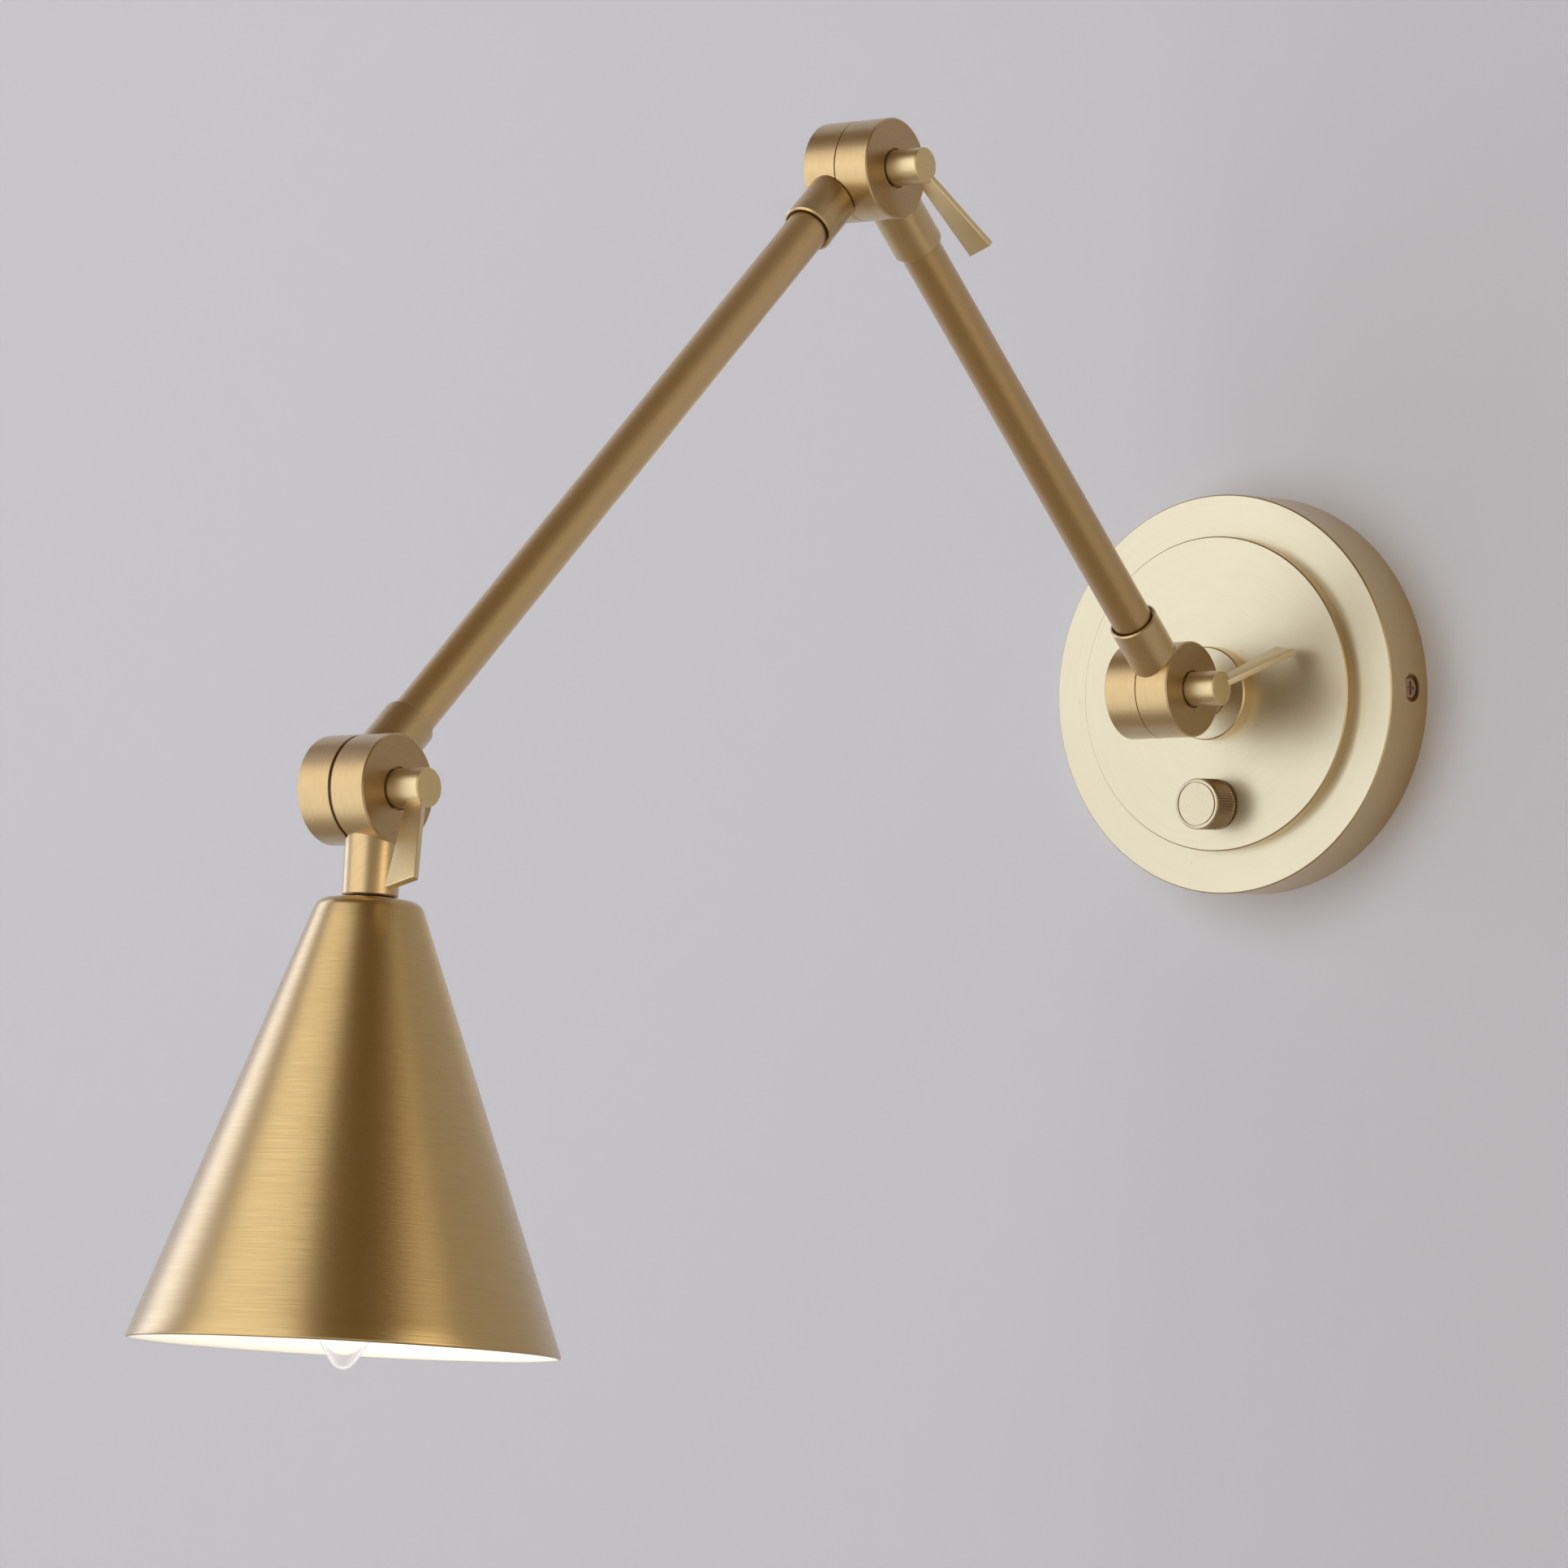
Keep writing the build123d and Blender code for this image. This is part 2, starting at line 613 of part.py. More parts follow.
with BuildPart() as socket_screw_shell:
    with BuildSketch(stem_plane.offset(socket_floor + seat_gap)):
        Circle(shell_outer_r)
        Circle(shell_inner_r, mode=Mode.SUBTRACT)
    extrude(amount=socket_bore_depth - 2 * seat_gap)
save(socket_screw_shell, "socket_screw_shell")

with BuildPart() as socket_contact:
    with BuildSketch(stem_plane.offset(socket_floor + seat_gap)):
        Circle(contact_d / 2)
    extrude(amount=contact_t - seat_gap)
save(socket_contact, "socket_contact")

# ================================================================ bulb
# A clear candle bulb with a pointed tip: screw cap, tip contact, glass, inner mount and filament.
with BuildPart() as bulb_contact:
    with BuildSketch(stem_plane.offset(bulb_foot)):
        Circle(tip_contact_d / 2)
    extrude(amount=tip_contact_t)
    chamfer(bulb_contact.faces().sort_by(stem_axis)[0].edges(), edge_break)
save(bulb_contact, "bulb_contact")

cap_foot = bulb_foot + tip_contact_t + seat_gap
with BuildPart() as bulb_cap:
    with BuildSketch(stem_plane.offset(cap_foot)):
        Circle(cap_d / 2)
    extrude(amount=cap_length)
    chamfer(bulb_cap.faces().sort_by(stem_axis)[0].edges(), cap_wall / 2)
    with BuildSketch(stem_plane.offset(cap_foot + cap_wall)):
        Circle(cap_d / 2 - cap_wall)
    extrude(amount=cap_length, mode=Mode.SUBTRACT)
save(bulb_cap, "bulb_cap")

glass_foot = cap_foot + cap_wall + seat_gap
glass_rim = cap_foot + cap_length
bulb_tip = bulb_foot + bulb_length
widest = bulb_foot + widest_at


def drop_outline(neck_r, belly_r, tip_r, tip):
    """The bulb's half section up to its tip: a straight neck, an S to the belly and a long arc
    that runs into the rounding of the tip."""
    neck = Line((neck_r, glass_foot), (neck_r, glass_rim))
    waist = ((neck_r + belly_r) / 2, (glass_rim + widest) / 2)
    flare = TangentArc(neck @ 1, waist, tangent=(0, 1))
    TangentArc(waist, (belly_r, widest), tangent=flare % 1)
    tip_rise = tip - tip_r - widest
    taper_r = (belly_r**2 + tip_rise**2 - tip_r**2) / (2 * (belly_r - tip_r))
    turn = degrees(atan2(tip_rise, taper_r - belly_r))
    CenterArc((belly_r - taper_r, widest), taper_r, 0, turn)
    CenterArc((0, tip - tip_r), tip_r, turn, 90 - turn)


with BuildPart() as bulb_glass:
    with BuildSketch(stem_section):
        with BuildLine():
            drop_outline(neck_d / 2, bulb_d / 2, bulb_tip_r, bulb_tip)
            Line((0, bulb_tip), (0, glass_foot))
            Line((0, glass_foot), (neck_d / 2, glass_foot))
        make_face()
        with BuildLine():
            inner_tip = bulb_tip - 2 * bulb_wall
            inner_neck_r = neck_d / 2 - bulb_wall
            drop_outline(inner_neck_r, bulb_d / 2 - bulb_wall, bulb_tip_r - bulb_wall, inner_tip)
            Line((0, inner_tip), (0, glass_foot))
            Line((0, glass_foot), (inner_neck_r, glass_foot))
        make_face(mode=Mode.SUBTRACT)
    revolve(axis=stem_axis)
save(bulb_glass, "bulb_glass")

with BuildPart() as bulb_mount:
    with BuildSketch(stem_plane.offset(glass_foot)):
        Circle(neck_d / 2 - bulb_wall - seat_gap)
    extrude(amount=tip_contact_t)
    with BuildSketch(stem_plane.offset(glass_foot)):
        Circle(mount_d / 2)
    extrude(amount=mount_length)
    fillet(bulb_mount.faces().sort_by(stem_axis)[-1].edges(), mount_d / 4)
save(bulb_mount, "bulb_mount")

# Two support wires up from the mount and the filament across their ends.
filament_height = bulb_foot + filament_at
mount_top = glass_foot + mount_length
with BuildPart() as bulb_filament:
    with BuildLine(stem_section) as filament_path:
        Polyline(
            (-mount_d / 4, mount_top - mount_d / 4),
            (-filament_span / 2, filament_height),
            (0, filament_height + filament_span / 4),
            (filament_span / 2, filament_height),
            (mount_d / 4, mount_top - mount_d / 4),
        )
    with BuildSketch(Plane(origin=filament_path.line @ 0, z_dir=filament_path.line % 0)):
        Circle(filament_d / 2)
    sweep(transition=Transition.RIGHT)
    add(bulb_mount.part, mode=Mode.SUBTRACT)
save(bulb_filament, "bulb_filament")

# ================================================================ dimmer
# A rotary dimmer behind the plate, fixed by a nut that the knob hides.
body_front = plate_inside - seat_gap
with BuildPart() as dimmer_body:
    with BuildSketch(Plane.XZ.offset(body_front)):
        with Locations((0, knob_z)):
            RectangleRounded(dimmer_w, dimmer_h, 2 * edge_break)
    extrude(amount=-dimmer_t)
    with BuildSketch(Plane.XZ.offset(body_front)):
        with Locations((0, knob_z)):
            Circle(bushing_d / 2)
    extrude(amount=bushing_length)
    with BuildSketch(Plane.XZ.offset(body_front - shaft_in_body)):
        with Locations((0, knob_z)):
            Circle(shaft_d / 2 + running_fit)
    extrude(amount=shaft_in_body + bushing_length, mode=Mode.SUBTRACT)
save(dimmer_body, "dimmer_body")

with BuildPart() as dimmer_nut:
    with BuildSketch(Plane.XZ.offset(plateau_front + seat_gap)):
        with Locations((0, knob_z)):
            RegularPolygon(dimmer_nut_af / 2, 6, major_radius=False)
            Circle(bushing_d / 2 + slip_fit, mode=Mode.SUBTRACT)
    extrude(amount=dimmer_nut_t)
save(dimmer_nut, "dimmer_nut")

knob_foot = plateau_front + knob_gap
shaft_end = knob_foot + nut_well_depth + shaft_in_knob
with BuildPart() as dimmer_shaft:
    with BuildSketch(Plane.XZ.offset(body_front - shaft_in_body + seat_gap)):
        with Locations((0, knob_z)):
            Circle(shaft_d / 2)
    extrude(amount=shaft_end - body_front + shaft_in_body - seat_gap)
    with BuildSketch(Plane.XZ.offset(shaft_end - shaft_in_knob)):
        with Locations((0, knob_z - shaft_d + shaft_flat)):
            Rectangle(shaft_d, shaft_d)
    extrude(amount=shaft_in_knob, mode=Mode.SUBTRACT)
save(dimmer_shaft, "dimmer_shaft")

# Knurled metal knob with a plain band at each end and a ring round its face.
with BuildPart() as dimmer_knob:
    with BuildSketch(Plane.XZ.offset(knob_foot)):
        with Locations((0, knob_z)):
            Circle(knob_d / 2)
    extrude(amount=knob_height)
    chamfer(dimmer_knob.edges().filter_by(GeomType.CIRCLE), knob_break)
    with BuildSketch(Plane.XZ.offset(knob_foot + knob_height - knob_groove_depth)):
        with Locations((0, knob_z)):
            Circle((knob_groove_d + knob_groove_w) / 2)
            Circle((knob_groove_d - knob_groove_w) / 2, mode=Mode.SUBTRACT)
    extrude(amount=knob_groove_depth, mode=Mode.SUBTRACT)
    with BuildSketch(Plane.XZ.offset(knob_foot + knurl_land)):
        with Locations((0, knob_z)):
            with PolarLocations(knob_d / 2, knurl_count):
                Rectangle(2 * knurl_depth, 2 * knurl_depth, rotation=45)
    extrude(amount=knob_height - 2 * knurl_land, mode=Mode.SUBTRACT)
    with BuildSketch(Plane.XZ.offset(knob_foot)):
        with Locations((0, knob_z)):
            Circle(nut_well_d / 2)
    extrude(amount=nut_well_depth, mode=Mode.SUBTRACT)
    with BuildSketch(Plane.XZ.offset(knob_foot)):
        with Locations((0, knob_z)):
            Circle(shaft_d / 2 + slip_fit)
    extrude(amount=nut_well_depth + shaft_in_knob + seat_gap, mode=Mode.SUBTRACT)
    grub_y = knob_foot + nut_well_depth + shaft_in_knob / 2
    grub_plane = Plane(origin=(0, -grub_y, knob_z - shaft_d / 2 + shaft_flat), x_dir=x_dir, z_dir=(0, 0, -1))
    with BuildSketch(grub_plane):
        Circle(grub_screw_d / 2 + running_fit)
    extrude(amount=knob_d / 2, mode=Mode.SUBTRACT)
save(dimmer_knob, "dimmer_knob")

with BuildPart() as knob_set_screw:
    with BuildSketch(grub_plane.offset(seat_gap)):
        Circle(grub_screw_d / 2)
    extrude(amount=(knob_d - shaft_d) / 2)
save(knob_set_screw, "knob_set_screw")
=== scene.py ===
"""Looks of the articulating wall lamp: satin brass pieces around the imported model, on a painted
wall in soft studio light. Metres, +Z up, -Y out of the wall."""

import json
from math import atan2, cos, degrees, pi, radians, sin, tan

import bmesh
import bpy
from mathutils import Matrix, Vector


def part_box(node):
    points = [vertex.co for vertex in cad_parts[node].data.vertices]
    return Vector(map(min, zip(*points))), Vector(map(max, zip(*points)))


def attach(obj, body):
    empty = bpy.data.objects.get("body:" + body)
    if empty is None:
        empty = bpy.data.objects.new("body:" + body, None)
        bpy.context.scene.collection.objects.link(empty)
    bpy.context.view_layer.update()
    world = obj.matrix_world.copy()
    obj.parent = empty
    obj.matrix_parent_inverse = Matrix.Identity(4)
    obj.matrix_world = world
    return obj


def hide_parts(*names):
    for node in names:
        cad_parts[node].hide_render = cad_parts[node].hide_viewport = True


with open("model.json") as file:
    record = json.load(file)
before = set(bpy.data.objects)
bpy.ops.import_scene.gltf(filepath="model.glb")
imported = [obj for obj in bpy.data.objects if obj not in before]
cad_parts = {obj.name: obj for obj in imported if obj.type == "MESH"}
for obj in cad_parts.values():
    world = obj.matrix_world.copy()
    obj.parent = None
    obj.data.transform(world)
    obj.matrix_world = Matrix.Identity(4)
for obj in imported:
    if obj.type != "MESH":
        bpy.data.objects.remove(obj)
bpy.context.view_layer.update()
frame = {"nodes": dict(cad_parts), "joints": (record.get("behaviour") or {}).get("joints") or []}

nodes = frame["nodes"]
pivots = {joint["name"]: Vector(joint["pos_m"]) for joint in frame["joints"]}

# ---------------------------------------------------------------- backplate
# Spun brass canopy with a raised disc, turned and then satin brushed in rings, lacquered; its flat
# front faces are paler as painted highlight, its rim side the deeper brass. The side screws hold it
# to the strap on the wall box.


class Wire:
    """One output of a node. Arithmetic and comparisons on it add Math nodes."""

    def __init__(self, tree, socket):
        self.tree = tree
        self.socket = socket

    def node(self, kind, settings=None, sockets=None, output=0):
        """Adds any node: its settings first, then the values or wires of its sockets."""
        added = self.tree.nodes.new(kind)
        for name, value in (settings or {}).items():
            setattr(added, name, value)
        for name, value in (sockets or {}).items():
            if isinstance(value, Wire):
                self.tree.links.new(value.socket, added.inputs[name])
            else:
                added.inputs[name].default_value = value
        return Wire(self.tree, added.outputs[output] if added.outputs else None)

    def maths(self, operation, first, second):
        return self.node("ShaderNodeMath", {"operation": operation}, {0: first, 1: second})

    def __add__(self, other):
        return self.maths("ADD", self, other)

    __radd__ = __add__

    def __sub__(self, other):
        return self.maths("SUBTRACT", self, other)

    def __rsub__(self, other):
        return self.maths("SUBTRACT", other, self)

    def __mul__(self, other):
        return self.maths("MULTIPLY", self, other)

    __rmul__ = __mul__

    def __gt__(self, other):
        return self.maths("GREATER_THAN", self, other)

    def __lt__(self, other):
        return self.maths("LESS_THAN", self, other)


def vector_maths(wire, operation, first, second=(0, 0, 0), scale=1.0, output=0):
    sockets = {0: first, 3: scale} if operation == "SCALE" else {0: first, 1: second}
    return wire.node("ShaderNodeVectorMath", {"operation": operation}, sockets, output)


def ramp(value, start, end, low, high):
    """The value's way from start to end, eased, as low to high."""
    return value.node(
        "ShaderNodeMapRange",
        {"interpolation_type": "SMOOTHSTEP"},
        {0: value, 1: start, 2: end, 3: low, 4: high},
    )


def noise(place, scale, detail):
    sockets = {"Vector": place, "Scale": scale, "Detail": detail}
    return place.node("ShaderNodeTexNoise", {}, sockets)


def mixed(mask, first, second):
    """The first colour, or the second where the mask is one. Each is a triple or a wire."""
    first, second = (c if isinstance(c, Wire) else (*c, 1) for c in (first, second))
    settings = {"data_type": "RGBA", "blend_type": "MIX"}
    return mask.node("ShaderNodeMix", settings, {"Factor": mask, 6: first, 7: second}, output=2)


def toned(colour, shares):
    return tuple(channel * share for channel, share in zip(colour, shares))


def relief(height):
    """A bump from a height in metres."""
    return height.node("ShaderNodeBump", {}, {"Strength": 1.0, "Distance": 1.0, "Height": height})


def start_material(name):
    material = bpy.data.materials.new(name)
    material.use_nodes = True
    material.node_tree.nodes.clear()
    return material, Wire(material.node_tree, None)


def cover(wire, sockets):
    """Ends a material with the main shader."""
    shader = wire.node("ShaderNodeBsdfPrincipled", {}, sockets)
    wire.node("ShaderNodeOutputMaterial", {}, {"Surface": shader})


def rings(place, centre, axis, lines_per_metre=2600.0):
    """Noise place for brush lines that run round an axis: long round it, fine along and across."""
    changes_per_turn = 3.0
    out = vector_maths(place, "SUBTRACT", place, centre)
    along = vector_maths(place, "DOT_PRODUCT", out, axis, output="Value")
    foot = vector_maths(place, "SCALE", tuple(axis), scale=along)
    radial = vector_maths(place, "SUBTRACT", out, foot)
    radius = vector_maths(place, "LENGTH", radial, output="Value")
    around = vector_maths(place, "NORMALIZE", radial)
    turned = vector_maths(place, "SCALE", around, scale=changes_per_turn)
    line = (along + radius) * lines_per_metre
    stacked = vector_maths(place, "SCALE", tuple(axis), scale=line)
    return vector_maths(place, "ADD", turned, stacked)


def satin_brass(
    name,
    colour,
    roughness,
    brush,
    brush_depth,
    streaks=0.4,
    faces=None,
    coat_ior=1.85,
    grain_depth=0.00001,
):
    """Lacquered brass: brush lines, a fine grain, slow drifts of tone and a few dull specks. Flat
    faces square to an axis may get a tone of their own as painted light, a paler painted highlight
    or a darker painted shade, given as (centre, axis, reach, colour)."""
    grain_scale = 2600.0
    drift_scale = 9.0
    speck_scale = 260.0
    speck_start, speck_full = 0.77, 0.84
    line_low, line_high = 0.3, 0.7
    dulling = (0.74, 0.68, 0.60)
    drift_dulling = 0.2
    speck_dulling = 0.4
    line_roughness = 0.08
    drift_roughness = 0.06
    coat_roughness = 0.34
    square_enough = 0.9
    material, wire = start_material(name)
    place = wire.node("ShaderNodeTexCoord", output="Object")
    lines = noise(brush(place), 1.0, 3.0)
    grain = noise(place, grain_scale, 2.0)
    drift = noise(place, drift_scale, 2.0)
    specks = ramp(noise(place, speck_scale, 1.0), speck_start, speck_full, 0.0, speck_dulling)
    spread = wire.node(
        "ShaderNodeMapRange",
        {"interpolation_type": "LINEAR"},
        {0: lines, 1: line_low, 2: line_high, 3: 0.0, 4: 1.0},
    )
    dull = spread * streaks + drift * drift_dulling + specks
    base = mixed(dull, colour, toned(colour, dulling))
    # Painted light: flat faces square to the axis, near it, get their own colour as painted
    # highlight or painted shade.
    if faces:
        centre, axis, reach, painted_light_face_colour = faces
        outward = wire.node("ShaderNodeTexCoord", output="Normal")
        facing = vector_maths(wire, "DOT_PRODUCT", outward, tuple(axis), output="Value")
        out = vector_maths(wire, "SUBTRACT", place, centre)
        along = vector_maths(wire, "DOT_PRODUCT", out, tuple(axis), output="Value")
        foot = vector_maths(wire, "SCALE", tuple(axis), scale=along)
        across = vector_maths(wire, "SUBTRACT", out, foot)
        radius = vector_maths(wire, "LENGTH", across, output="Value")
        flat = (facing * facing > square_enough) * (reach > radius)
        base = mixed(flat, base, mixed(dull, painted_light_face_colour, toned(painted_light_face_colour, dulling)))
    uneven = (spread - 0.5) * line_roughness + (drift - 0.5) * drift_roughness
    cover(
        wire,
        {
            "Base Color": base,
            "Metallic": 1.0,
            "Roughness": uneven + roughness,
            "Coat Weight": 1.0,
            "Coat IOR": coat_ior,
            "Coat Roughness": coat_roughness,
            "Normal": relief(lines * brush_depth + grain * grain_depth),
        },
    )
    return material


def finish(material, *names):
    """Gives CAD nodes that keep their shape the material of their finish."""
    for name in names:
        for holder in nodes[name].material_slots:
            holder.material = material


wall_centre = Vector((0, 0, 0))
out_of_wall = Vector((0, -1, 0))
# Painted highlight: the flat front faces of the plate and hub get this paler tone.
painted_highlight_face_colour = (0.60, 0.53, 0.34)
plate_reach = 0.1
pale_brass = satin_brass(
    "pale_brass",
    (0.60, 0.42, 0.15),
    0.36,
    lambda place: rings(place, wall_centre, out_of_wall, lines_per_metre=4200.0),
    brush_depth=0.000008,
    streaks=0.12,
    faces=(wall_centre, out_of_wall, plate_reach, painted_highlight_face_colour),
    coat_ior=2.0,
)
finish(pale_brass, "backplate")

# ---------------------------------------------------------------- strap and the swivel's nut
# Pressed and turned steel behind the plate, zinc plated with the cloudy spangle of the bath. The
# strap is screwed to the wall box, with a green earth screw, and the nut holds the swivel.


def plated_metal(name, colour, roughness):
    """Plated or bare metal with the slow clouds of the bath and a fine grain."""
    cloud_scale = 160.0
    grain_scale = 1900.0
    cloud_tone = 0.6
    cloud_roughness = 0.25
    grain_depth = 0.00002
    material, wire = start_material(name)
    place = wire.node("ShaderNodeTexCoord", output="Object")
    clouds = noise(place, cloud_scale, 4.0)
    grain = noise(place, grain_scale, 2.0)
    cover(
        wire,
        {
            "Base Color": mixed(clouds, colour, toned(colour, (cloud_tone,) * 3)),
            "Metallic": 1.0,
            "Roughness": clouds * cloud_roughness + roughness,
            "Normal": relief(grain * grain_depth),
        },
    )
    return material


def coated(name, colour, roughness, grain_scale, grain_depth, mottle=0.7):
    """Paint, fibre or moulded plastic: one colour with a mottled surface of its own grain."""
    grain_roughness = 0.2
    material, wire = start_material(name)
    place = wire.node("ShaderNodeTexCoord", output="Object")
    grain = noise(place, grain_scale, 4.0)
    cover(
        wire,
        {
            "Base Color": mixed(grain, colour, toned(colour, (mottle,) * 3)),
            "Roughness": grain * grain_roughness + roughness,
            "Normal": relief(grain * grain_depth),
        },
    )
    return material


plated_steel = plated_metal("plated_steel", (0.62, 0.62, 0.60), 0.2)
finish(plated_steel, "mounting_strap", "swivel_washer", "swivel_nut")
green_paint = coated("green_paint", (0.03, 0.22, 0.07), 0.3, 900.0, 0.00003)
finish(green_paint, "ground_screw")

# ---------------------------------------------------------------- side screws
# Two small brass screws with domed heads and a cross recess. They sit in the dimples of the rim
# and hold the plate to the bent ends of the strap.
side_screw_brass = plated_metal("side_screw_brass", (0.62, 0.42, 0.28), 0.2)
finish(side_screw_brass, "canopy_side_screws")

# ---------------------------------------------------------------- hub
# The round boss on the plate, turned brass coloured brighter than the knuckles as painted light on
# its side, with a satin face in the plate's paler painted highlight tone. The wall knuckle's spigot
# turns in it.
# Painted light: the brighter brass stands in for light on the hub's side, and its face takes the
# painted highlight tone.
hub_brass = satin_brass(
    "hub_brass",
    (0.80, 0.57, 0.24),
    0.36,
    lambda place: rings(place, wall_centre, out_of_wall),
    brush_depth=0.00001,
    streaks=0.2,
    faces=(wall_centre, out_of_wall, plate_reach, painted_highlight_face_colour),
)
finish(hub_brass, "hub_boss")

# ---------------------------------------------------------------- knuckles
# Six turned and milled brass halves, darker than the plate, satin finished with a fine even grain
# that runs round each pivot; their flat faces square to the pivot are darker still as painted
# shade. A washer lies in each seam, of black fibre at the wall and elbow and of dark bronze at the
# head.
antique_brass_colour = (0.59, 0.40, 0.145)
# Painted shade: the flat faces square to each pivot get this darker colour.
painted_shade_face_colour = (0.44, 0.26, 0.06)
knuckle_face_reach = 0.0152
along_pivot = Vector((1, 0, 0))
knuckles = {
    "wall": ("wall_knuckle_base", "wall_knuckle_arm"),
    "elbow": ("elbow_knuckle_lower", "elbow_knuckle_upper"),
    "head": ("head_knuckle_arm", "head_knuckle_stem"),
}
for knuckle, halves in knuckles.items():
    pivot = pivots[f"{knuckle}_pivot"]
    knuckle_brass = satin_brass(
        f"{knuckle}_knuckle_brass",
        antique_brass_colour,
        0.36,
        lambda place: rings(place, pivot, along_pivot),
        brush_depth=0.00002,
        faces=(pivot, along_pivot, knuckle_face_reach, painted_shade_face_colour),
    )
    finish(knuckle_brass, *halves)

black_fibre = coated("black_fibre", (0.02, 0.018, 0.016), 0.6, 2500.0, 0.00005)
finish(black_fibre, "wall_friction_washer", "elbow_friction_washer")
ring_bronze = satin_brass(
    "ring_bronze",
    (0.24, 0.14, 0.06),
    0.45,
    lambda place: rings(place, pivots["head_pivot"], along_pivot),
    brush_depth=0.00001,
)
finish(ring_bronze, "head_friction_washer")

# ---------------------------------------------------------------- arm tubes
# Two drawn brass tubes, brushed along their length and lacquered, each pushed into the collars of
# the knuckles at its ends. The lower one is coloured a little darker as painted shade.


def drawn(place, axis):
    """Noise place for brush lines that run along an axis."""
    lines_per_metre = 2600.0
    squash_along = 0.02
    along = vector_maths(place, "DOT_PRODUCT", place, axis, output="Value")
    foot = vector_maths(place, "SCALE", tuple(axis), scale=along)
    across = vector_maths(place, "SUBTRACT", place, foot)
    fine = vector_maths(place, "SCALE", across, scale=lines_per_metre)
    slow = vector_maths(place, "SCALE", foot, scale=lines_per_metre * squash_along)
    return vector_maths(place, "ADD", fine, slow)


tubes = (
    # Painted shade: the lower tube's colour is darker than the upper tube's.
    ("lower_tube", "wall_pivot", "elbow_pivot", (0.50, 0.30, 0.075)),
    ("upper_tube", "elbow_pivot", "head_pivot", (0.63, 0.41, 0.13)),
)
for tube, near_pivot, far_pivot, tube_colour in tubes:
    line = (pivots[far_pivot] - pivots[near_pivot]).normalized()
    tube_brass = satin_brass(
        f"{tube}_brass",
        tube_colour,
        0.40,
        lambda place: drawn(place, line),
        brush_depth=0.000004,
        streaks=0.2,
        grain_depth=0.000004,
    )
    finish(tube_brass, tube)

# ---------------------------------------------------------------- levers
# Three brass castings, each a round barrel with a flat splayed blade, tumbled to a fine sand grain;
# the barrels' end faces are darker as painted shade. Each turns the plated steel screw that clamps
# its knuckle.


def turn(mesh, profile, origin, direction, segments):
    """Adds a turned skin: the profile's (radius, distance along) points carried round the line."""
    on_axis = 1e-7
    side = direction.orthogonal().normalized()
    front = direction.cross(side)
    turns = [2 * pi * step / segments for step in range(segments)]
    loops = []
    for radius, along in profile:
        centre = origin + direction * along
        if radius < on_axis:
            loops.append([mesh.verts.new(centre)])
            continue
        rim = [centre + (side * cos(t) + front * sin(t)) * radius for t in turns]
        loops.append([mesh.verts.new(point) for point in rim])
    for near, far in zip(loops, loops[1:]):
        for step in range(segments):
            after = (step + 1) % segments
            corners = [near[step % len(near)], near[after % len(near)]]
            corners += [far[after % len(far)], far[step % len(far)]]
            mesh.faces.new(list(dict.fromkeys(corners)))


def arc(centre, radius, start, end, steps):
    """Profile points on an arc, angles in degrees from the radius direction."""
    turns = [radians(start + (end - start) * step / steps) for step in range(steps + 1)]
    return [(centre[0] + radius * cos(t), centre[1] + radius * sin(t)) for t in turns]


def piece_from(mesh, name, sharp_angle):
    """The finished piece: faces turned out and smooth, but for edges sharper than the angle."""
    bmesh.ops.recalc_face_normals(mesh, faces=mesh.faces)
    data = bpy.data.meshes.new(name)
    mesh.to_mesh(data)
    mesh.free()
    for face in data.polygons:
        face.use_smooth = True
    data.set_sharp_from_angle(angle=radians(sharp_angle))
    piece = bpy.data.objects.new(name, data)
    bpy.context.scene.collection.objects.link(piece)
    return piece


